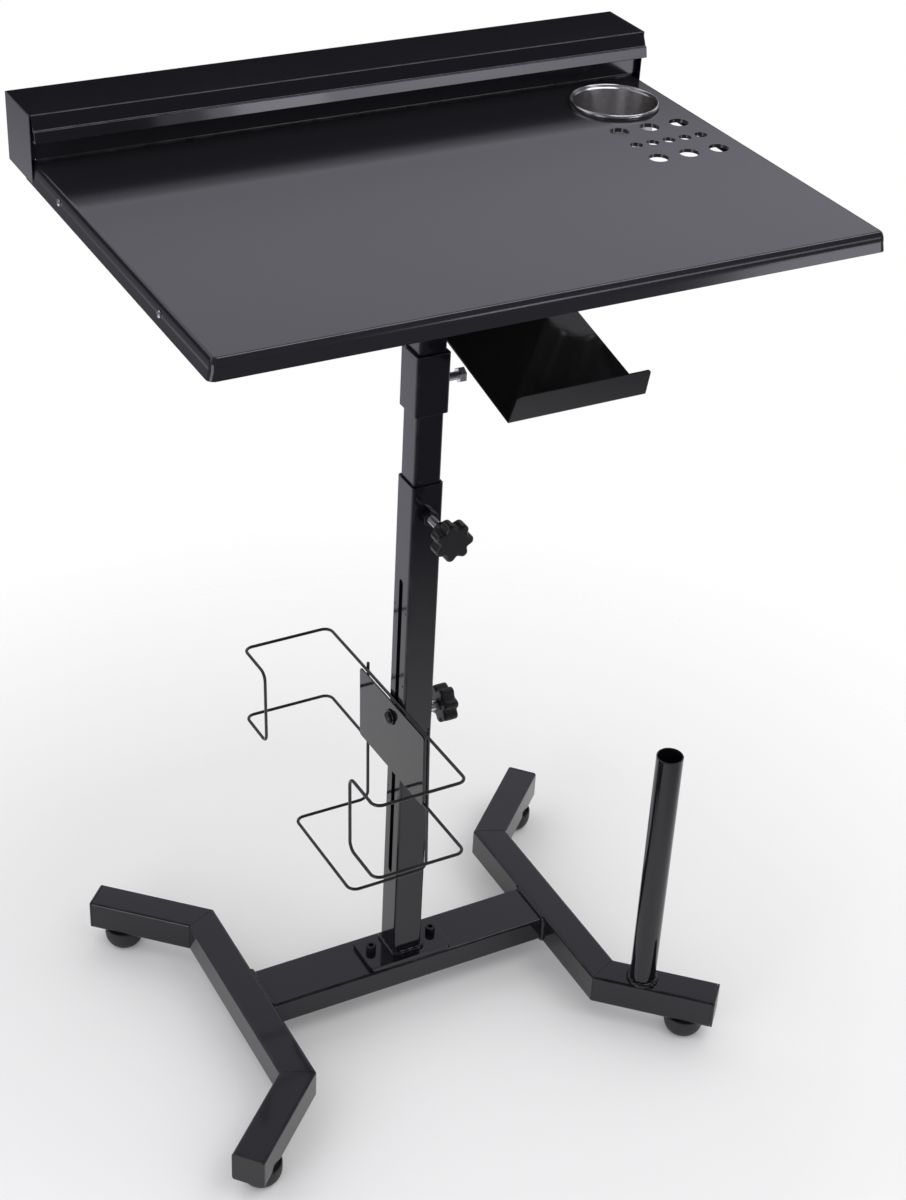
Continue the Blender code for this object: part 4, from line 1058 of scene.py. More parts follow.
@dataclass
class TrayPan:
    """The tray's sheet with its skirts, riser wall, cup seat and ink-cup holes."""

    depth: float = 0.396
    sheet: float = 0.0012
    skirt: float = 0.0175
    hem: float = 0.005
    fold: float = 0.0025
    hem_return: float = 0.006
    hem_overrun: float = 0.012
    hem_drop: float = 0.010
    skirt_lean: float = 0.0018
    corner: float = 0.0065
    middle_zone: float = 0.01
    side_zone: float = 0.2
    screw_from_front: tuple[float, float] = (0.100, 0.325)
    screw_rise: float = 0.0095
    screw_head: float = 0.003
    screw_brim: float = 0.0005
    screw_dome: float = 0.0013
    screw_cross: tuple[float, float] = (0.0018, 0.0004)
    screw_cross_floor: float = 0.0009
    stud_count: int = 6
    stud_radius: float = 0.0025
    stud_pitch: float = 0.0008
    stud_tip: float = 0.0005
    stud_chamfer: float = 0.0006
    stud_past_nut: float = 0.0015
    nut_gap: float = 0.0002
    seat_gap: float = 0.0005
    cup_neck: float = 0.0792
    hole_rows: tuple[tuple[int, float, float], ...] = (
        (3, 0.0315, 0.018), (5, 0.017, 0.0115), (3, 0.0315, 0.018))
    first_row: float = 0.062
    row_pitch: float = 0.033
    seat_steps: int = 96
    hole_steps: int = 40

    def build(self) -> None:
        """Folds the sheet, cuts its openings and paints it."""
        low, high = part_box("tray_pan")
        top = low.z + self.skirt
        back = low.y + self.depth - self.fold
        work = self.rolled_sheet(low, high, back)
        self.hem_and_wall(work, low, high, back)
        work.thicken(self.sheet, Way.UP.value).cut(*self.opening_cutters(top))
        work.dress(TRAY_PAINT, "tray", Slot.PAINT, "tray_pan")
        self.studs(top - self.sheet)
        self.skirt_screws(low, high)

    def rolled_sheet(self, low: Vector, high: Vector, back: float) -> Workpiece:
        """The pan's floor with rounded corners, a rolled rim and leaning side skirts.

        Args:
            low: The pan's lowest corner.
            high: Its highest corner.
            back: Where the flat floor ends.

        Returns:
            The sheet, with no thickness yet.
        """
        roll_foot = low.z + self.skirt - self.hem_drop
        roll_top = roll_foot + self.hem
        work = Workpiece.block("tray_sheet", low, (high.x, back, roll_top))
        work.pick(Element.FACE, lambda face: face.normal.z < -0.9 or face.normal.y > 0.9).drop_faces()
        work.pick(Element.EDGE, lambda edge: turned_by(edge) > CORNER_TURN
                  and runs_along(Way.UP.value)(edge))
        work.bevel(self.corner, 6)
        work.pick(Element.EDGE, lambda edge: turned_by(edge) > CORNER_TURN
                  and abs(middle_of(edge).z - roll_top) < SAME_PLACE)
        work.bevel(self.hem, 10)
        work.pick(Element.VERT, lambda vert: vert.co.z > roll_foot + SAME_PLACE / 10)
        bpy.ops.transform.resize(value=(1.0, 1.0, self.hem_drop / self.hem),
                                 center_override=(0.0, 0.0, roll_foot))
        work.pick(Element.VERT, lambda vert: vert.co.z < low.z + SAME_PLACE)
        bpy.ops.transform.resize(value=(1.0 + self.skirt_lean / high.x, 1.0, 1.0),
                                 center_override=(0.0, 0.0, low.z))
        return work

    def hem_and_wall(self, work: Workpiece, low: Vector, high: Vector, back: float) -> None:
        """Turns the skirts' lower edge in and folds the wall up behind the floor.

        Args:
            work: The rolled sheet.
            low: The pan's lowest corner.
            high: Its highest corner.
            back: Where the flat floor ends.
        """
        top = low.z + self.skirt
        work.pick(Element.EDGE, lambda edge: max(vert.co.z for vert in edge.verts) < low.z + SAME_PLACE)
        work.extrude((0.0, 0.0, 0.0))
        shrink = (1.0 - self.hem_return / high.x, 1.0 - self.hem_return / (back - low.y), 1.0)
        bpy.ops.transform.resize(value=shrink, center_override=(0.0, back, low.z))
        work.pick(Element.EDGE, lambda edge: min(vert.co.y for vert in edge.verts) > back - SAME_PLACE
                  and abs(middle_of(edge).x) < self.middle_zone)
        bpy.ops.mesh.spin(steps=6, angle=-QUARTER_TURN, center=(0.0, back, top + self.fold),
                          axis=Way.RIGHT.value)
        work.extrude((0.0, 0.0, high.z - top - self.fold))
        work.pick(Element.EDGE, lambda edge: min(vert.co.y for vert in edge.verts) > back - SAME_PLACE
                  and max(vert.co.z for vert in edge.verts) < top + SAME_PLACE
                  and abs(middle_of(edge).x) > self.side_zone)
        work.extrude((0.0, self.hem_overrun, 0.0))
        for side in (Way.LEFT, Way.RIGHT):
            work.pick(Element.EDGE, lambda edge: middle_of(edge).x * side.line.x > self.side_zone
                      and min(vert.co.z for vert in edge.verts) > top + self.fold - SAME_PLACE
                      and runs_along(Way.UP.value)(edge))
            work.extrude(side.line * self.hem)

    def opening_cutters(self, top: float) -> list[Workpiece]:
        """Round bars through the floor for the cup's seat and the ink cups.

        Args:
            top: The height of the floor's upper side.

        Returns:
            The cutters, the seat's first.
        """
        foot = top - CUT_PAST
        seat_radius = self.cup_neck / 2 + self.seat_gap
        openings = [("cup_seat_cutter", seat_radius, CUP_AXIS.x, CUP_AXIS.y, self.seat_steps)]
        for row, (count, pitch, diameter) in enumerate(self.hole_rows):
            y = CUP_AXIS.y - self.first_row - row * self.row_pitch
            openings += [("hole_cutter", diameter / 2, CUP_AXIS.x + (index - (count - 1) / 2) * pitch, y,
                          self.hole_steps) for index in range(count)]
        cutters = []
        for name, radius, x, y, steps in openings:
            bar = Workpiece.ring(name, radius, (x, y, foot), Way.UP.value, steps, filled=True)
            cutters.append(bar.extrude((0.0, 0.0, 2 * CUT_PAST)).face_out())
        return cutters

    def studs(self, underside: float) -> None:
        """The weld studs under the sheet and a nut on each.

        Args:
            underside: The height of the sheet's underside.
        """
        pattern = None
        for index in range(1, self.stud_count + 1):
            low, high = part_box(f"stud_nut_{index}")
            middle = (low + high) / 2
            height = high.z - low.z
            if pattern is None:
                pattern = Workpiece.hexagon("stud_nut_pattern", high.y - low.y, (0.0, 0.0, -height / 2),
                                            Way.UP, height, self.stud_radius + self.nut_gap)
            nut = pattern.copy(f"stud_nut_{index}_hexagon", Matrix.Translation(middle))
            nut.dress(ZINC, "tray", Slot.ZINC, f"stud_nut_{index}")
            length = underside - low.z + self.stud_past_nut
            ridges = thread(self.stud_radius, self.stud_pitch, self.stud_tip, length - self.stud_pitch)
            rings = [(self.stud_radius, 0.0), *reversed([(radius, length - rise) for radius, rise in ridges]),
                     (self.stud_radius - self.stud_chamfer, length)]
            stud = Workpiece.lathe(f"weld_stud_{index}", rings, (middle.x, middle.y, underside),
                                   Way.DOWN.value, 20)
            stud.dress(ZINC, "tray", Slot.ZINC)
        pattern.discard()

    def skirt_screws(self, low: Vector, high: Vector) -> None:
        """Two small cross-head screws in each side skirt.

        Args:
            low: The pan's lowest corner.
            high: Its highest corner.
        """
        radius = self.screw_head
        profile = [(radius, 0.0), (radius, self.screw_brim)]
        profile += [(radius * math.cos(angle), self.screw_brim + self.screw_dome * math.sin(angle))
                    for angle in (0.4, 0.8, 1.2)]
        pattern = Workpiece.lathe("skirt_screw_pattern", profile, (0.0, 0.0, 0.0), Way.UP.value, 24)
        for x, y in (self.screw_cross, self.screw_cross[::-1]):
            pattern.cut(Workpiece.block("cross_cutter", (-x, -y, self.screw_cross_floor), (x, y, radius)))
        for side, x in ((Way.LEFT, low.x), (Way.RIGHT, high.x)):
            turn = side.line.to_track_quat("Z", "Y").to_matrix().to_4x4()
            for number, reach in enumerate(self.screw_from_front, 1):
                place = Matrix.Translation((x, low.y + reach, low.z + self.screw_rise)) @ turn
                screw = pattern.copy(f"skirt_screw_{side.name.lower()}_{number}", place)
                screw.dress(ZINC, "tray", Slot.ZINC)
        pattern.discard()


@dataclass
class Riser:
    """The box along the tray's back: a folded cover and two end plates."""

    sheet: float = 0.0012
    fascia_drop: float = 0.012
    fascia_lean: float = 0.006
    lip_step: float = 0.004
    lip_lean: float = 0.0024
    lip_height: float = 0.010
    lip_return: float = 0.007
    front_inset: float = 0.001
    fold: float = 0.0008
    plate_rim: float = 0.00055

    def front(self, y: float, top: float) -> list[tuple[float, float]]:
        """The fascia's and lip's places, from the top edge down.

        Args:
            y: Where the fascia starts.
            top: The height of the cover.

        Returns:
            The (y, z) places, fold by fold.
        """
        lip_y = y - self.fascia_lean - self.lip_step
        shoulder = top - self.fascia_drop
        return [(y, top), (y - self.fascia_lean, shoulder), (lip_y + self.lip_lean, shoulder),
                (lip_y, shoulder - self.lip_height)]

    def build(self) -> None:
        """Folds the cover and cuts the end plates."""
        low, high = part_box("riser_cover")
        front = self.front(low.y + self.fascia_lean + self.lip_step, high.z)
        lip_y, lip_z = front[-1]
        profile = [(high.y, low.z), (high.y, high.z), *front, (lip_y + self.lip_return, lip_z)]
        cover = Workpiece.folded("riser_sheet", low.x, high.x, profile)
        cover.pick(Element.EDGE, lambda edge: turned_by(edge) > FOLD_TURN).bevel(self.fold, 4)
        cover.thicken(self.sheet, Way.UP.value).dress(RISER_PAINT, "tray", Slot.PAINT, "riser_cover")
        foot_y = front[0][0] + self.front_inset
        side = [(high.y, low.z), (high.y, high.z), front[0], (foot_y, low.z)]
        for node in ("riser_left_end", "riser_right_end"):
            plate_low, plate_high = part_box(node)
            points = [(plate_low.x, y, z) for y, z in side]
            plate = Workpiece.outline(f"{node}_plate", points, (plate_high.x - plate_low.x, 0.0, 0.0))
            plate.pick(Element.EDGE, lambda edge: turned_by(edge) > CORNER_TURN
                       and not runs_along(Way.RIGHT.value)(edge))
            plate.bevel(self.plate_rim, 3).dress(RISER_PAINT, "tray", Slot.PAINT, node)


@dataclass
class PowerShelf:
    """The shelf under the tray: flange, rear wall, sloping floor and front lip."""

    sheet: float = 0.0015
    length: float = 0.165
    slope: float = math.radians(11.8)
    lip: float = 0.028
    flange: float = 0.025
    fold: float = 0.002
    corner: float = 0.003
    lip_cut: float = 0.005
    near: float = 0.001
    lip_zone: float = 0.01

    def build(self) -> None:
        """Folds the shelf and rounds its lip's corners."""
        low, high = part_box("power_shelf")
        along = Vector((0.0, math.cos(self.slope), math.sin(self.slope)))
        across = Vector((0.0, -along.z, along.y))
        rear_y = high.y - self.flange
        front = Vector((0.0, rear_y - self.length * along.y, low.z))
        rear = front + along * self.length
        lip = front + across * self.lip
        profile = [(lip.y, lip.z), (front.y, front.z), (rear.y, rear.z), (rear.y, high.z - self.sheet),
                   (high.y, high.z - self.sheet)]
        work = Workpiece.folded("power_shelf_sheet", low.x, high.x, profile)
        work.pick(Element.VERT, lambda vert: vert.co.x < low.x + self.near
                  and abs(vert.co.z - lip.z) < SAME_PLACE and vert.co.y < front.y + self.near)
        bpy.ops.transform.translate(value=(self.lip_cut, 0.0, 0.0))
        work.pick(Element.EDGE, lambda edge: turned_by(edge) > FOLD_TURN).bevel(self.fold, 4)
        work.thicken(self.sheet, Way.DOWN.value)
        edge_line = across.cross(Way.RIGHT.line)
        work.pick(Element.EDGE, lambda edge: runs_along(edge_line)(edge)
                  and (middle_of(edge) - lip).dot(across) > -self.near
                  and middle_of(edge).y < front.y + self.lip_zone)
        work.bevel(self.corner, 6)
        work.dress(SHELF_PAINT_LIGHTENED_AGAINST_SHADE, "tray", Slot.PAINT, "power_shelf")


@dataclass
class RinseCup:
    """The turned steel cup in the tray."""

    wall: float = 0.001
    roll: float = 0.0024
    fillet: float = 0.006
    fillet_steps: int = 6
    neck: float = 0.0396
    foot: float = 0.033
    rim_start: float = -0.35 * math.pi
    rim_sweep: float = 1.35 * math.pi
    rim_steps: int = 12
    outer_below_rim: float = 0.0005
    inner_below_rim: float = 0.001

    def fillet_arc(self, radius: float, floor: float) -> list[tuple[float, float]]:
        """The rounded corner between the cup's floor and its wall, from the floor up.

        Args:
            radius: The wall's radius at the corner.
            floor: The floor's height.

        Returns:
            The (radius, height) rings.
        """
        angles = [QUARTER_TURN * step / self.fillet_steps for step in range(self.fillet_steps + 1)]
        return [(radius - self.fillet * (1 - math.sin(angle)), floor + self.fillet * (1 - math.cos(angle)))
                for angle in angles]

    def build(self) -> None:
        """Turns the cup, rim and all, as one closed wall."""
        low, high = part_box("rinse_cup")
        rim_z = high.z - low.z - self.roll
        outer = [*self.fillet_arc(self.foot, 0.0), (self.neck, rim_z - self.outer_below_rim)]
        rim = []
        for step in range(self.rim_steps + 1):
            angle = self.rim_start + self.rim_sweep * step / self.rim_steps
            rim.append((self.neck + self.roll * (0.5 + 0.5 * math.cos(angle)),
                        rim_z + self.roll * max(0.0, math.sin(angle))))
        inner = [(self.neck - self.wall, rim_z - self.inner_below_rim),
                 *reversed(self.fillet_arc(self.foot - self.wall, self.wall))]
        foot = (CUP_AXIS.x, CUP_AXIS.y, low.z)
        work = Workpiece.lathe("rinse_cup_shell", outer + rim + inner, foot, Way.UP.value, 96)
        work.dress(STAINLESS, "cup", Slot.STAINLESS, "rinse_cup")


@dataclass
class Upright:
    """The column, the mast with its sleeve, and the tray's stem."""

    wall: float = 0.0015
    sleeve_wall: float = 0.0025
    corner: float = 0.003
    slot_width: float = 0.0075
    slot_length: float = 0.358
    slot_below_top: float = 0.107
    slot_flat: float = 0.00005
    mast_slot_rise: float = 0.074
    screw_hole: float = 0.0043
    bead: float = 0.0032
    bead_rise: float = 0.0004
    bead_aside: float = 0.001
    bead_step: float = 0.9
    bead_ripple: float = 0.30
    plate_setback: float = 0.007
    plate_corner: float = 0.006
    plate_rim: float = 0.0006
    spot_rises: tuple[float, ...] = (0.207, 0.343, 0.427)
    spot_aside: float = 0.011
    spot_profile: tuple[tuple[float, float], ...] = (
        (0.0012, -0.0004), (0.0012, 0.0001), (0.0009, 0.0003), (0.0004, 0.0004))
    bolt_shank: float = 0.003
    bolt_head: float = 0.0105
    bolt_head_height: float = 0.0075
    bolt_break: float = 0.0003
    bolt_crown: float = 0.0010
    bolt_socket: float = 0.005
    bolt_socket_depth: float = 0.0035

    def build(self) -> None:
        """Draws the square tubes, slots them and sets the column on its plate."""
        low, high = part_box("column")
        slot_top = high.z - self.slot_below_top
        self.column(low, high, slot_top)
        plate_low, plate_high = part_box("base_plate")
        plate_high.y = min(plate_high.y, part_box("cross_beam")[1].y - self.plate_setback)
        plate = Workpiece.plate("base_plate_flat", plate_low, plate_high, Way.UP, self.plate_corner,
                                self.plate_rim)
        plate.dress(TUBE_PAINT, "stand", Slot.PAINT, "base_plate")
        self.socket_bolts()
        for node, body, wall in (("sleeve", "mast", self.sleeve_wall), ("tray_stem", "tray", self.wall)):
            tube = Workpiece.tube(f"{node}_tube", *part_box(node), Way.UP, wall, self.corner)
            tube.dress(TUBE_PAINT, body, Slot.PAINT, node)
        self.mast((low.y + high.y) / 2, slot_top + self.mast_slot_rise)

    def slot_cutter(self, name: str, low: Point, high: Point, middle_y: float) -> Workpiece:
        """A bar across a tube, for cutting a slot through its left and right walls.

        Args:
            name: The cutter's name.
            low: The (x, z) of the tube's left wall and the slot's foot.
            high: The (x, z) of its right wall and the slot's top.
            middle_y: The middle of the slot's width.

        Returns:
            The square-ended cutter.
        """
        half = self.slot_width / 2
        return Workpiece.block(name, (low[0] - CUT_PAST, middle_y - half, low[1]),
                               (high[0] + CUT_PAST, middle_y + half, high[1]))

    def column(self, low: Vector, high: Vector, slot_top: float) -> None:
        """The slotted outer tube with its weld at the foot and its spot welds.

        Args:
            low: The tube's lowest corner.
            high: Its highest corner.
            slot_top: The upper end of its slots.
        """
        centre = (low + high) / 2
        column = Workpiece.tube("column_tube", low, high, Way.UP, self.wall, self.corner)
        slot = self.slot_cutter("slot_cutter", (low.x, slot_top - self.slot_length), (high.x, slot_top),
                                centre.y)
        slot.pick(Element.EDGE, runs_along(Way.RIGHT.value)).bevel(self.slot_width / 2 - self.slot_flat, 8)
        screw_low, screw_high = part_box("height_screw")
        hole = Workpiece.rod("screw_hole_cutter", self.screw_hole,
                             (centre.x, low.y - CUT_PAST, (screw_low.z + screw_high.z) / 2), Way.BACK,
                             2 * CUT_PAST)
        column.cut(slot).cut(hole).dress(TUBE_PAINT, "stand", Slot.PAINT, "column")
        path = around_block(high.x - low.x + self.bead_aside, high.y - low.y + self.bead_aside, self.corner,
                            self.bead * self.bead_step)
        ring = [(centre.x + x, centre.y + y, low.z + self.bead_rise) for x, y in path]
        bead = Workpiece.bead("column_foot_bead", ring, Way.UP, self.bead, self.bead_ripple)
        bead.dress(WELD_PAINT, "stand", Slot.PAINT, angle=60.0)
        self.spot_welds(low, centre)

    def mast(self, middle_y: float, slot_top: float) -> None:
        """The inner tube, slotted from its foot up.

        Args:
            middle_y: The middle of the slots' width.
            slot_top: Their upper end.
        """
        low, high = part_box("mast_tube")
        mast = Workpiece.tube("mast_inner_tube", low, high, Way.UP, self.wall, self.corner)
        cutter = self.slot_cutter("mast_slot_cutter", (low.x, low.z - CUT_PAST), (high.x, slot_top), middle_y)
        cutter.pick(Element.EDGE, lambda edge: runs_along(Way.RIGHT.value)(edge)
                    and middle_of(edge).z > low.z)
        cutter.bevel(self.slot_width / 2 - self.slot_flat, 6)
        mast.cut(cutter).dress(TUBE_PAINT, "mast", Slot.PAINT, "mast_tube")

    def spot_welds(self, low: Vector, centre: Vector) -> None:
        """Pairs of small painted spot welds beside the slot.

        Args:
            low: The column's lowest corner.
            centre: Its middle.
        """
        pattern = Workpiece.lathe("spot_weld_pattern", self.spot_profile, (0.0, 0.0, 0.0), Way.LEFT.value, 16)
        for number, rise in enumerate(self.spot_rises, 1):
            for end, aside in (("front", -self.spot_aside), ("back", self.spot_aside)):
                place = Matrix.Translation((low.x, centre.y + aside, low.z + rise))
                spot = pattern.copy(f"spot_weld_{number}_{end}", place)
                spot.dress(WELD_PAINT, "stand", Slot.PAINT)
        pattern.discard()

    def socket_bolts(self) -> None:
        """The two socket-head bolts that hold the base plate."""
        low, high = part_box("left_base_bolt")
        radius = self.bolt_head / 2
        top = high.z - low.z
        under = top - self.bolt_head_height
        profile = [(self.bolt_shank, 0.0), (self.bolt_shank, under), (radius - self.bolt_break, under),
                   (radius, under + self.bolt_break), (radius, top - self.bolt_crown),
                   (radius - self.bolt_break, top - self.bolt_break), (radius - self.bolt_crown, top)]
        pattern = Workpiece.lathe("base_bolt_pattern", profile, (0.0, 0.0, 0.0), Way.UP.value, 48)
        socket = Workpiece.ring("socket_cutter", self.bolt_socket / math.sqrt(3),
                                (0.0, 0.0, top - self.bolt_socket_depth), Way.UP.value, 6, filled=True)
        pattern.cut(socket.extrude((0.0, 0.0, CUT_PAST)).face_out())
        for node in ("left_base_bolt", "right_base_bolt"):
            low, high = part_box(node)
            place = Matrix.Translation(((low.x + high.x) / 2, (low.y + high.y) / 2, low.z))
            pattern.copy(f"{node}_socket_head", place).dress(OXIDE, "stand", Slot.OXIDE, node)
        pattern.discard()


@dataclass
class Base:
    """The H-shaped base: legs, splayed arms, cross beam and roll post."""

    size: float = 0.034
    wall: float = 0.0015
    corner: float = 0.003
    mitre_rim: float = 0.0003
    splay: float = math.radians(47)
    bend_y: float = 0.125
    arm_length: float = 0.122
    arm_overlap: float = 0.03
    plug_flange: float = 0.0025
    plug_rim: float = 0.0009
    gap: float = 0.0003
    post_radius: float = 0.0135
    post_wall: float = 0.0015
    post_floor: float = 0.004
    foot_contact: float = 0.0115
    foot_shoulder: float = 0.66
    foot_stem: float = 0.005
    foot_boss: float = 0.010
    foot_dish: float = 0.0015
    foot_steps: int = 8
    bead: float = 0.0030
    bead_aside: float = 0.0004
    beam_bead_step: float = 0.0022
    beam_bead_ripple: float = 0.25
    post_bead_step: float = 0.002
    post_bead_ripple: float = 0.22

    @property
    def axis_y(self) -> float:
        """The middle of the cross beam's depth."""
        low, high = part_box("cross_beam")
        return (low.y + high.y) / 2

    def build(self) -> None:
        """Builds both legs, the beam and the post."""
        low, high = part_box("cross_beam")
        plug = self.end_cap()
        foot = self.rubber_foot()
        path = around_block(high.y - low.y + 0.001, high.z - low.z + 0.001, self.corner, self.beam_bead_step)
        for side, name in ((-1, "left"), (1, "right")):
            self.leg(side, name, plug, foot)
            end_x = side * (high.x + self.bead_aside)
            ring = [(end_x, self.axis_y + y, (low.z + high.z) / 2 + z) for y, z in path]
            bead = Workpiece.bead(f"{name}_beam_bead", ring, Way.RIGHT, self.bead, self.beam_bead_ripple)
            bead.dress(WELD_PAINT, "stand", Slot.PAINT, angle=60.0)
        plug.discard()
        foot.discard()
        beam = Workpiece.tube("cross_beam_tube", low, high, Way.RIGHT, self.wall, self.corner)
        beam.dress(TUBE_PAINT, "stand", Slot.PAINT, "cross_beam")
        self.post()

    def leg(self, side: int, name: str, plug: Workpiece, foot: Workpiece) -> None:
        """One leg's middle tube and its two arms, mitred.

        Args:
            side: -1 for the left leg, 1 for the right.
            name: The side's name.
            plug: The end cap that is copied.
            foot: The foot that is copied.
        """
        low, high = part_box(f"{name}_leg_tube")
        centre = (low + high) / 2
        bar = Workpiece.block(f"{name}_leg_bar", low, high)
        bar.pick(Element.EDGE, runs_along(Way.BACK.value)).bevel(self.corner, 5)
        for end in (-1, 1):
            bend = Vector((centre.x, self.axis_y + end * (self.bend_y - self.gap / 2), centre.z))
            bar.mitre(bend, self.mitre_normal(side, end))
        bar.hollow(Way.BACK.line, self.wall, self.mitre_rim)
        bar.dress(TUBE_PAINT, "stand", Slot.PAINT, f"{name}_leg_tube")
        for end, end_name in ((-1, "front"), (1, "back")):
            corner_name = f"{name}_{end_name}"
            line = self.arm_line(side, end)
            start = Vector((centre.x, self.axis_y + end * self.bend_y, centre.z))
            turn = Matrix.Rotation(math.atan2(-line.x, line.y), 4, "Z")
            self.arm(corner_name, start, line, self.mitre_normal(side, end), turn)
            tip = Matrix.Translation(start + line * (self.arm_length - self.plug_flange)) @ turn
            cap = plug.copy(f"{corner_name}_end_cap", tip)
            cap.dress(MOULDED, "stand", Slot.PLASTIC, f"{corner_name}_plug")
            foot_low, foot_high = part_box(f"{corner_name}_foot")
            middle = (foot_low + foot_high) / 2
            pad = foot.copy(f"{corner_name}_rubber_foot",
                            Matrix.Translation((middle.x, middle.y, foot_low.z)))
            pad.dress(RUBBER, "stand", Slot.RUBBER, f"{corner_name}_foot")

    def arm(self, corner_name: str, start: Vector, line: Vector, normal: Vector, turn: Matrix) -> None:
        """One splayed arm, cut to its leg's mitre.

        Args:
            corner_name: The names of its side and end.
            start: Where its middle line leaves the leg's.
            line: Its direction.
            normal: The mitre plane's normal, pointing into the arm.
            turn: The turn that lays it along its direction.
        """
        half = self.size / 2
        length = self.arm_length - self.plug_flange - self.gap
        arm = Workpiece.block(f"{corner_name}_arm_tube", (-half, -self.arm_overlap, -half),
                              (half, length, half))
        arm.pick(Element.EDGE, runs_along(Way.BACK.value)).bevel(self.corner, 5)
        arm.settle(Matrix.Translation(start) @ turn)
        arm.mitre(start + normal * self.gap / 2, -normal)
        arm.hollow(line, self.wall, self.mitre_rim)
        arm.dress(TUBE_PAINT, "stand", Slot.PAINT, f"{corner_name}_arm")

    def end_cap(self) -> Workpiece:
        """Models one end cap for copying.

        Returns:
            The cap, its inner face on the plane y = 0.
        """
        half = self.size / 2
        plug = Workpiece.block("end_cap_pattern", (-half, 0.0, -half), (half, self.plug_flange, half))
        plug.pick(Element.EDGE, runs_along(Way.BACK.value)).bevel(self.corner, 5)
        plug.pick(Element.EDGE, lambda edge: turned_by(edge) > CORNER_TURN and middle_of(edge).y > 0.001)
        return plug.bevel(self.plug_rim, 3)

    def rubber_foot(self) -> Workpiece:
        """Models one foot for copying: a round pad with a dished top and a stem.

        Returns:
            The foot, standing on the origin.
        """
        low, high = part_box("left_front_foot")
        radius = (high.x - low.x) / 2
        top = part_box("left_leg_tube")[0].z - self.gap
        shoulder = top * self.foot_shoulder
        profile = [(self.foot_contact - 0.004, 0.0006), (self.foot_contact - 0.0035, 0.0)]
        for step in range(self.foot_steps + 1):
            angle = QUARTER_TURN * step / self.foot_steps
            profile.append((self.foot_contact + (radius - self.foot_contact) * math.sin(angle),
                            0.0003 + (shoulder - 0.0003) * (1 - math.cos(angle))))
        profile += [(radius, top - 0.0014), (radius - 0.0004, top - 0.0005), (radius - 0.0012, top - 0.0001),
                    (radius - 0.0022, top - 0.0003), (radius - 0.0032, top - self.foot_dish),
                    (self.foot_boss, top - self.foot_dish), (self.foot_boss - 0.0005, top),
                    (self.foot_stem + 0.001, top), (self.foot_stem, top + 0.0003),
                    (self.foot_stem, high.z - low.z)]
        return Workpiece.lathe("rubber_foot_pattern", profile, (0.0, 0.0, 0.0), Way.UP.value, 48)

    def arm_line(self, side: int, end: int) -> Vector:
        """An arm's level direction away from its bend."""
        return Vector((side * math.sin(self.splay), end * math.cos(self.splay), 0.0))

    def mitre_normal(self, side: int, end: int) -> Vector:
        """The normal of a bend's mitre plane, pointing into the arm."""
        return (self.arm_line(side, end) + Vector((0.0, end, 0.0))).normalized()

    def post(self) -> None:
        """The open post that a roll slips over, its rim rounded."""
        low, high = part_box("roll_post")
        centre = (low + high) / 2
        height = high.z - low.z
        outer = self.post_radius
        inner = outer - self.post_wall
        profile = [(outer, 0.0), (outer, height - 0.0005), (outer - 0.0003, height - 0.0001),
                   (outer - 0.0006, height), (inner + 0.0005, height), (inner + 0.0002, height - 0.0002),
                   (inner, height - 0.0006), (inner, self.post_floor)]
        work = Workpiece.lathe("roll_post_tube", profile, (centre.x, centre.y, low.z), Way.UP.value, 64)
        work.dress(TUBE_PAINT, "stand", Slot.PAINT, "roll_post")
        count = int(2 * math.pi * outer / self.post_bead_step)
        angles = [2 * math.pi * index / count for index in range(count)]
        reach = outer + self.bead_aside
        ring = [(centre.x + reach * math.cos(angle), centre.y + reach * math.sin(angle), low.z + 0.0003)
                for angle in angles]
        bead = Workpiece.bead("post_foot_bead", ring, Way.UP, self.bead, self.post_bead_ripple)
        bead.dress(WELD_PAINT, "stand", Slot.PAINT, angle=60.0)


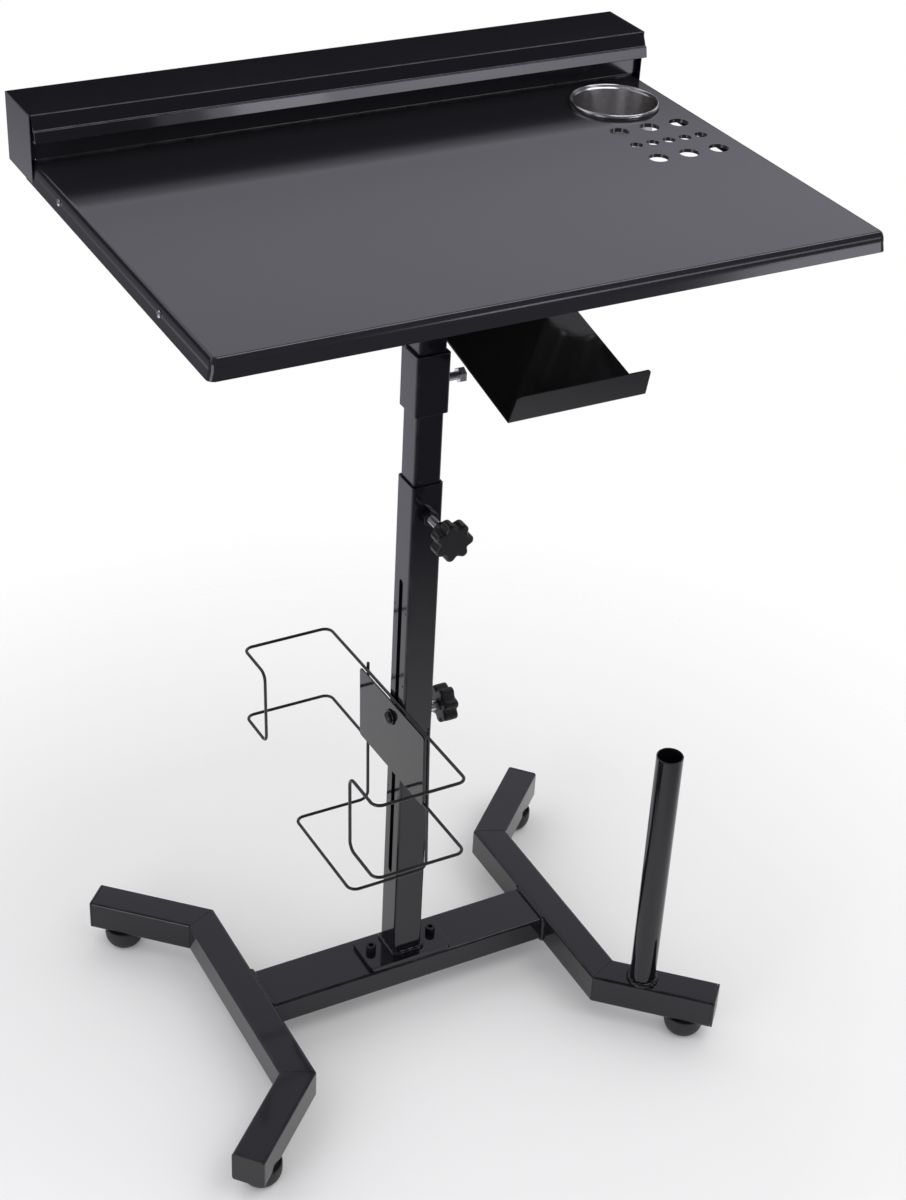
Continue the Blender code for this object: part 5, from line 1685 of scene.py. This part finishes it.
@dataclass
class WireRack:
    """The plate and bent wires that hold bottles."""

    tilt: float = math.radians(2.9)
    wire: float = 0.0016
    bend: float = 0.009
    plate_length: float = 0.140
    plate_height: float = 0.080
    plate_thickness: float = 0.002
    plate_corner: float = 0.0032
    plate_rim: float = 0.0004
    bolt_below_top: float = 0.0175
    past_plate: float = 0.001
    length: float = 0.302
    reach: float = 0.095
    back: float = 0.053
    shelf_length: float = 0.132
    shelf_reach: float = 0.0825
    shelf_drop: float = 0.1605
    nub: float = 0.006
    gap: float = 0.0003
    bolt: float = 0.003
    bolt_head: float = 0.006
    bolt_head_height: float = 0.0045
    bolt_brim: float = 0.0008
    hub: float = 0.006
    hub_flange: float = 0.002
    bore_gap: float = 0.0003

    def build(self) -> None:
        """Bends both wires and cuts the plate, in the rack's own leaning frame."""
        column_low, column_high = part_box("column")
        bolt_low, bolt_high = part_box("rack_knob")
        axis = Vector((0.0, (column_low.y + column_high.y) / 2, (bolt_low.z + bolt_high.z) / 2))
        lean = Matrix.Translation(axis) @ Matrix.Rotation(-self.tilt, 4, "X")
        x = column_low.x - self.gap - self.wire
        upper = self.bolt_below_top
        lower = upper - self.plate_height
        corners = self.holder_corners(x, upper + self.past_plate, lower - self.past_plate)
        holder = Workpiece.wire("holder_bent_wire", corners, self.wire, self.bend, closed=True)
        holder.settle(lean).dress(WIRE_COAT, "rack", Slot.WIRE, "holder_wire")
        corners = self.shelf_corners(x + 2 * self.wire + self.gap, upper)
        shelf = Workpiece.wire("bottle_shelf_bent_wire", corners, self.wire, self.bend, closed=False)
        shelf.settle(lean).dress(WIRE_COAT, "rack", Slot.WIRE, "bottle_shelf_wire")
        face = x - self.wire - self.gap
        half = self.plate_length / 2
        plate = Workpiece.block("rack_plate_sheet", (face - self.plate_thickness, -half, lower),
                                (face, half, upper))
        plate.pick(Element.EDGE, runs_along(Way.RIGHT.value)).bevel(self.plate_corner, 5)
        plate.pick(Element.EDGE, lambda edge: turned_by(edge) > CORNER_TURN).bevel(self.plate_rim, 2)
        plate.settle(lean).dress(RISER_PAINT, "rack", Slot.PAINT, "rack_plate")
        self.carriage_bolt(axis)
        self.washer(axis)
        self.round_hub(axis)

    def holder_corners(self, x: float, upper: float, lower: float) -> list[Point]:
        """The corners of the holder wire's upper and lower C.

        Args:
            x: Where the wire lies on the column.
            upper: The height of the upper C.
            lower: The height of the lower C.

        Returns:
            The corners, once round.
        """
        far = x - self.reach
        y = self.length / 2
        back = y - self.back
        front = [(x, y), (x, -y), (far, -y), (far, -back)]
        corners = [(cx, cy, upper) for cx, cy in front]
        corners += [(cx, cy, lower) for cx, cy in reversed(front)]
        corners += [(cx, -cy, lower) for cx, cy in front[2:]]
        corners += [(cx, -cy, upper) for cx, cy in reversed(front[2:])]
        return corners

    def shelf_corners(self, inner: float, upper: float) -> list[Point]:
        """The corners of the bottle shelf's wire, from nub to nub.

        Args:
            inner: Where the wire lies behind the plate.
            upper: The height of the plate's top.

        Returns:
            The corners in order.
        """
        y = self.shelf_length / 2
        level = upper - self.shelf_drop
        far = inner - self.shelf_reach
        top = upper + self.nub
        return [(inner, y, top), (inner, y, level), (far, y, level), (far, -y, level), (inner, -y, level),
                (inner, -y, top)]

    def carriage_bolt(self, axis: Vector) -> None:
        """The round-headed bolt through the plate.

        Args:
            axis: A point of the clamp's axis.
        """
        low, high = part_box("rack_bolt")
        head = high.x - low.x - self.bolt_head_height
        radius = self.bolt_head
        brim = head + self.bolt_brim
        profile = [(self.bolt - 0.0005, 0.0), (self.bolt, 0.0005), (self.bolt, head), (radius - 0.0002, head),
                   (radius, head + 0.0002), (radius, brim)]
        dome = self.bolt_head_height - self.bolt_brim
        profile += [(radius * math.cos(angle), brim + dome * math.sin(angle))
                    for angle in (0.25, 0.5, 0.75, 1.0, 1.25, 1.45)]
        bolt = Workpiece.lathe("rack_carriage_bolt", profile, (high.x, axis.y, axis.z), Way.LEFT.value, 40)
        bolt.dress(OXIDE, "rack", Slot.OXIDE, "rack_bolt")

    def washer(self, axis: Vector) -> None:
        """The flat washer under the hub.

        Args:
            axis: A point of the clamp's axis.
        """
        low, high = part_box("rack_washer")
        radius = (high.y - low.y) / 2
        thickness = high.x - low.x
        profile = [(radius - 0.0003, 0.0), (radius, 0.0003), (radius, thickness - 0.0003),
                   (radius - 0.0003, thickness)]
        washer = Workpiece.lathe("rack_flat_washer", profile, (low.x, axis.y, axis.z), Way.RIGHT.value, 40)
        washer.cut(Workpiece.rod("washer_bore", self.bolt + self.bore_gap, (low.x - CUT_PAST, axis.y, axis.z),
                                 Way.RIGHT, 2 * CUT_PAST))
        washer.dress(OXIDE, "rack", Slot.OXIDE, "rack_washer")

    def round_hub(self, axis: Vector) -> None:
        """The flanged hub between the column and the knob.

        Args:
            axis: A point of the clamp's axis.
        """
        low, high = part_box("rack_hub")
        radius = (high.y - low.y) / 2
        length = high.x - low.x
        flange = self.hub_flange
        profile = [(radius - 0.0004, 0.0), (radius, 0.0004), (radius, flange - 0.0004),
                   (radius - 0.0004, flange), (self.hub + 0.0005, flange), (self.hub, flange + 0.0005),
                   (self.hub, length - 0.0005), (self.hub - 0.0005, length)]
        hub = Workpiece.lathe("rack_round_hub", profile, (low.x, axis.y, axis.z), Way.RIGHT.value, 40)
        hub.cut(Workpiece.rod("hub_bore", self.bolt + self.bore_gap, (low.x - CUT_PAST, axis.y, axis.z),
                              Way.RIGHT, 4 * CUT_PAST))
        hub.dress(ZINC, "rack_hub", Slot.ZINC, "rack_hub")


@dataclass
class Clamps:
    """The weld nut, screws and star knobs, the tray's clamp bolt and its plate."""

    screw: float = 0.004
    pitch: float = 0.00125
    thread_start: float = 0.0008
    rack_bolt: float = 0.003
    bore_gap: float = 0.0003
    lobes: int = 7
    knob_radius: float = 0.0195
    lobe_dip: float = 0.0045
    lobe_steps: int = 14
    knob_thickness: float = 0.015
    knob_rounding: float = 0.0024
    hub_radius: float = 0.0085
    socket: float = 0.0122
    head_height: float = 0.0065
    plate_corner: float = 0.012
    plate_rim: float = 0.0005

    def build(self) -> None:
        """Builds both clamps, the tray's bolt and the stem's plate."""
        self.height_clamp()
        self.rack_knob()
        self.clamp_bolt()
        plate = Workpiece.plate("stem_plate_flat", *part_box("stem_plate"), Way.UP, self.plate_corner,
                                self.plate_rim)
        plate.dress(TUBE_PAINT, "tray", Slot.PAINT, "stem_plate")

    def star(self, name: str) -> Workpiece:
        """A star knob's lobed body along +Z from the origin.

        Args:
            name: The piece's name.

        Returns:
            The solid body.
        """
        points = []
        for index in range(self.lobes * self.lobe_steps):
            angle = 2 * math.pi * index / (self.lobes * self.lobe_steps)
            dip = (0.5 - 0.5 * math.cos(self.lobes * angle)) ** 1.5
            radius = self.knob_radius - self.lobe_dip * dip
            points.append((radius * math.cos(angle), radius * math.sin(angle), 0.0))
        work = Workpiece.outline(name, points, (0.0, 0.0, self.knob_thickness))
        return work.pick(Element.EDGE, lambda edge: turned_by(edge) > 1.2).bevel(self.knob_rounding, 4)

    def height_clamp(self) -> None:
        """The weld nut, screw and knob on the column's front."""
        low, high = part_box("height_weld_nut")
        middle = (low + high) / 2
        nut = Workpiece.hexagon("height_weld_nut_hexagon", high.z - low.z, (middle.x, high.y, middle.z),
                                Way.FRONT, high.y - low.y, self.screw + self.bore_gap)
        nut.dress(WELD_PAINT, "stand", Slot.PAINT, "height_weld_nut")
        low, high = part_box("height_screw")
        length = high.y - low.y
        rings = [(self.screw - 0.001, 0.0), *thread(self.screw, self.pitch, self.thread_start, length),
                 (self.screw - 0.0008, length)]
        screw = Workpiece.lathe("height_threaded_screw", rings, (middle.x, high.y, middle.z),
                                Way.FRONT.value, 32)
        screw.dress(ZINC, "height_screw", Slot.ZINC, "height_screw")
        low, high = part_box("height_knob")
        neck = high.y - low.y - self.knob_thickness
        radius = self.hub_radius
        profile = [(radius - 0.0008, 0.0), (radius - 0.0002, 0.0003), (radius, 0.0010),
                   (radius, neck - 0.003), (radius + 0.0012, neck - 0.0008), (radius + 0.003, neck)]
        hub = Workpiece.lathe("height_knob_hub", profile, (middle.x, high.y, middle.z), Way.FRONT.value, 40)
        hub.cut(Workpiece.rod("hub_bore", self.screw + self.bore_gap, (middle.x, high.y + CUT_PAST, middle.z),
                              Way.FRONT, CUT_PAST + self.socket))
        hub.dress(MOULDED, "height_knob", Slot.PLASTIC, "height_knob")
        facing = Matrix.Rotation(QUARTER_TURN, 4, "X")
        star = self.star("height_knob_star")
        star.settle(Matrix.Translation((middle.x, high.y - neck, middle.z)) @ facing)
        star.dress(MOULDED, "height_knob", Slot.PLASTIC, "height_knob")

    def rack_knob(self) -> None:
        """The rack's knob, with a blind bore for the bolt's end."""
        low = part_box("rack_knob")[0]
        bolt_low, bolt_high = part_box("rack_bolt")
        middle = (bolt_low + bolt_high) / 2
        facing = Matrix(((0, 0, 1, 0), (1, 0, 0, 0), (0, 1, 0, 0), (0, 0, 0, 1)))
        knob = self.star("rack_knob_star").settle(Matrix.Translation((low.x, middle.y, middle.z)) @ facing)
        knob.cut(Workpiece.rod("knob_bore", self.rack_bolt + self.bore_gap,
                               (low.x - CUT_PAST, middle.y, middle.z), Way.RIGHT, CUT_PAST + self.socket))
        knob.dress(MOULDED, "rack_knob", Slot.PLASTIC, "rack_knob")

    def clamp_bolt(self) -> None:
        """The hexagon bolt that clamps the tray's stem in the sleeve."""
        low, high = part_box("clamp_bolt")
        middle = (low + high) / 2
        head_x = high.x - self.head_height
        length = head_x - low.x
        rings = [(self.screw - 0.001, 0.0), *thread(self.screw, self.pitch, self.thread_start, length),
                 (self.screw - 0.0006, length + 0.001)]
        shank = Workpiece.lathe("clamp_bolt_thread", rings, (low.x, middle.y, middle.z), Way.RIGHT.value, 32)
        shank.dress(ZINC, "mast", Slot.ZINC, "clamp_bolt")
        head = Workpiece.hexagon("clamp_bolt_head", high.z - low.z, (head_x, middle.y, middle.z), Way.RIGHT,
                                 self.head_height, 0.0)
        head.dress(ZINC, "mast", Slot.ZINC, "clamp_bolt")


@dataclass
class KeptNodes:
    """The CAD nodes that stay, each with its finish."""

    def build(self) -> None:
        """Gives every CAD node a procedural material, by its slot."""
        by_slot = {Slot.PAINT: TUBE_PAINT, Slot.WIRE: WIRE_COAT, Slot.PLASTIC: MOULDED, Slot.RUBBER: RUBBER,
                   Slot.OXIDE: OXIDE, Slot.ZINC: ZINC, Slot.STAINLESS: STAINLESS}
        for name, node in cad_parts.items():
            old = node.data.materials[0].name.split(".")[0] if node.data.materials else Slot.PAINT.value
            slot = next((slot for slot in Slot if slot.value == old), Slot.PAINT)
            node.data.materials.clear()
            node.data.materials.append(by_slot[slot].material())
            LOG.info("%s keeps its solid in %s", name, by_slot[slot].name)


@dataclass(frozen=True)
class Lamp:
    """A soft rectangular lamp that looks at a point, with a grid where its spread is narrow."""

    name: str
    place: tuple[float, float, float]
    target: tuple[float, float, float]
    size: tuple[float, float]
    power: float
    spread: float = math.pi
    mirrored: bool = True
    scattered: bool = True

    def build(self, tint: tuple[float, float, float]) -> None:
        """Hangs the lamp.

        Args:
            tint: The colour of the light that reflections show.
        """
        data = bpy.data.lights.new(self.name, "AREA")
        data.shape = "RECTANGLE"
        data.size, data.size_y = self.size
        data.energy = self.power
        data.spread = self.spread
        data.color = tint if self.mirrored else (1.0, 1.0, 1.0)
        lamp = bpy.data.objects.new(self.name, data)
        bpy.context.scene.collection.objects.link(lamp)
        lamp.visible_glossy = self.mirrored
        lamp.visible_diffuse = self.scattered
        lamp.visible_camera = False
        aim = (Vector(self.target) - Vector(self.place)).to_track_quat("-Z", "Y").to_matrix().to_4x4()
        lamp.matrix_world = Matrix.Translation(self.place) @ aim


GRID = math.radians(40)
LAMPS = (
    Lamp("top_softbox", (0.9, -0.9, 2.6), (0.0, 0.0, 0.4), (1.6, 1.2), 9.0, mirrored=False),
    Lamp("lip_window", (0.87, -1.3, 1.075), (0.12, 0.16, 0.94), (0.786, 0.16), 0.0602, spread=GRID),
    Lamp("lip_window_edge", (0.50, -1.3, 1.075), (-0.07, 0.16, 0.94), (0.190, 0.16), 0.0060, spread=GRID),
    Lamp("lip_window_fade", (0.385, -1.3, 1.075), (-0.125, 0.16, 0.94), (0.132, 0.16), 0.0020, spread=GRID),
    Lamp("hem_window", (1.25, -1.3, 0.33), (1.25, 0.0, 0.33), (0.6, 0.5), 2.73),
    Lamp("left_softbox", (-1.7, -0.9, 0.55), (0.0, -0.2, 0.55), (0.9, 1.0), 8.0),
    Lamp("edge_strip", (0.70, -0.25, 2.25), (0.70, -0.25, 0.0), (1.4, 0.5), 8.8, scattered=False),
)


@dataclass
class Studio:
    """The floor, the light and the photograph's camera."""

    photo_width: float = 906.0
    photo_height: float = 1200.0
    focal_pixels: float = 2184.65
    middle: tuple[float, float] = (434.85, 603.10)
    place: tuple[float, float, float] = (-0.82390, -1.52458, 1.63350)
    yaw: float = math.radians(28.89)
    pitch: float = math.radians(33.32)
    roll: float = math.radians(2.83)
    sensor: float = 36.0
    nearest: float = 0.05
    floor_size: float = 8.0
    floor_colour: tuple[float, float, float] = (0.890, 0.888, 0.894)
    floor_shade: tuple[float, float, float] = (0.872, 0.870, 0.876)
    floor_fade: tuple[float, float] = (0.45, 0.95)
    light_colour: tuple[float, float, float] = (0.985, 0.965, 1.080)
    screen_edge: tuple[float, float] = (0.424, 0.440)
    screen_dark: float = 0.02
    overhead_rise: tuple[float, float] = (0.45, 0.75)
    overhead: float = 0.50
    wall_fade: tuple[float, float] = (-0.15, 0.25)
    front_wall: float = 0.14
    front_floor: float = 0.112
    front_fade: tuple[float, float] = (-0.55, 0.0)
    horizon: tuple[float, float] = (-0.03, 0.0)
    ground_fade: tuple[float, float] = (-0.46, -0.32)
    ground: float = 0.90
    far_ground: float = 0.25
    fill: float = 0.92

    def build(self) -> None:
        """Sets the camera, the floor, the world and the lamps."""
        scene = bpy.context.scene
        scene.view_settings.view_transform = "Standard"
        self.camera(scene)
        self.floor()
        self.world(scene)
        for lamp in LAMPS:
            lamp.build(self.light_colour)

    def camera(self, scene: bpy.types.Scene) -> None:
        """The camera at the photograph's place and angle.

        Args:
            scene: The scene that looks through it.
        """
        data = bpy.data.cameras.new("photo_camera")
        camera = bpy.data.objects.new("photo_camera", data)
        scene.collection.objects.link(camera)
        level = math.cos(self.pitch)
        forward = Vector((math.sin(self.yaw) * level, math.cos(self.yaw) * level, -math.sin(self.pitch)))
        right = Vector((math.cos(self.yaw), -math.sin(self.yaw), 0.0))
        up = right.cross(forward)
        tilted = right * math.cos(self.roll) + up * math.sin(self.roll)
        upward = up * math.cos(self.roll) - right * math.sin(self.roll)
        turn = Matrix((tilted, upward, -forward)).transposed().to_4x4()
        camera.matrix_world = Matrix.Translation(self.place) @ turn
        data.sensor_fit = "VERTICAL"
        data.sensor_height = self.sensor
        data.lens = self.focal_pixels / self.photo_height * self.sensor
        data.shift_x = (self.photo_width / 2 - self.middle[0]) / self.photo_height
        data.shift_y = (self.middle[1] - self.photo_height / 2) / self.photo_height
        data.clip_start = self.nearest
        scene.camera = camera

    def floor(self) -> None:
        """A pale floor that fades into the white background away from the part."""
        clear_selection()
        bpy.ops.mesh.primitive_plane_add(size=self.floor_size, location=(0.0, 0.0, 0.0))
        floor = bpy.context.active_object
        floor.name = "floor"
        material = bpy.data.materials.new("pale_floor")
        material.use_nodes = True
        graph = Graph(material.node_tree)
        shader = material.node_tree.nodes["Principled BSDF"]
        place = graph.add("ShaderNodeTexCoord").outputs["Object"]
        spots = graph.noise(place, 6.0, 4.0)
        graph.feed(graph.blend(spots, self.floor_colour, self.floor_shade), shader, "Base Color")
        shader.inputs["Roughness"].default_value = 0.9
        shader.inputs["Specular IOR Level"].default_value = 0.1
        length = graph.add("ShaderNodeVectorMath", operation="LENGTH")
        graph.feed(place, length, 0)
        fade = graph.spread(length.outputs["Value"], *self.floor_fade, 0.0, 1.0)
        clear = graph.add("ShaderNodeBsdfTransparent")
        mix = graph.add("ShaderNodeMixShader")
        graph.feed(fade, mix, 0)
        graph.feed(shader.outputs["BSDF"], mix, 1)
        graph.feed(clear.outputs["BSDF"], mix, 2)
        graph.feed(mix.outputs["Shader"], material.node_tree.nodes["Material Output"], "Surface")
        floor.data.materials.append(material)

    def world(self, scene: bpy.types.Scene) -> None:
        """White where the camera looks, a studio with dark walls in reflections, even light elsewhere.

        Args:
            scene: The scene that it surrounds.
        """
        world = bpy.data.worlds.new("studio")
        scene.world = world
        world.use_nodes = True
        graph = Graph(world.node_tree)
        background = world.node_tree.nodes["Background"]
        way = graph.add("ShaderNodeSeparateXYZ")
        graph.feed(graph.add("ShaderNodeTexCoord").outputs["Generated"], way, 0)
        _, y, z = way.outputs
        steep = graph.sum("DIVIDE", z, graph.sum("MAXIMUM", y, 0.05))
        screen = graph.spread(steep, *self.screen_edge, self.screen_dark, 1.0)
        overhead = graph.spread(z, *self.overhead_rise, 1.0, self.overhead)
        behind = graph.spread(y, *self.wall_fade, self.front_wall, 1.0)
        above = graph.sum("MULTIPLY", graph.sum("MULTIPLY", screen, overhead), behind)
        near = graph.spread(z, *self.ground_fade, self.ground, self.far_ground)
        below = graph.mix(graph.spread(y, *self.front_fade, 0.0, 1.0), self.front_floor, near)
        room = graph.mix(graph.spread(z, *self.horizon, 1.0, 0.0), above, below)
        rays = graph.add("ShaderNodeLightPath")
        mirrored = graph.sum("MAXIMUM", rays.outputs["Is Glossy Ray"], rays.outputs["Is Transmission Ray"])
        lit = graph.mix(mirrored, self.fill, room)
        graph.feed(graph.blend(mirrored, (1.0, 1.0, 1.0), self.light_colour), background, "Color")
        graph.feed(graph.mix(rays.outputs["Is Camera Ray"], lit, 1.0), background, "Strength")


def main() -> None:
    """Builds the shared groups, every sub-assembly and the studio."""
    logging.basicConfig(level=logging.INFO, format="%(name)s: %(message)s")
    for make in (peel_group, marks_group, wear_and_highlight_group, dust_group, brush_group):
        make()
    KeptNodes().build()
    for assembly in (Base(), Upright(), Clamps(), WireRack(), TrayPan(), Riser(), PowerShelf(), RinseCup()):
        assembly.build()
        LOG.info("%s done", type(assembly).__name__)
    Studio().build()
    clear_selection()


if __name__ == "__main__":
    main()
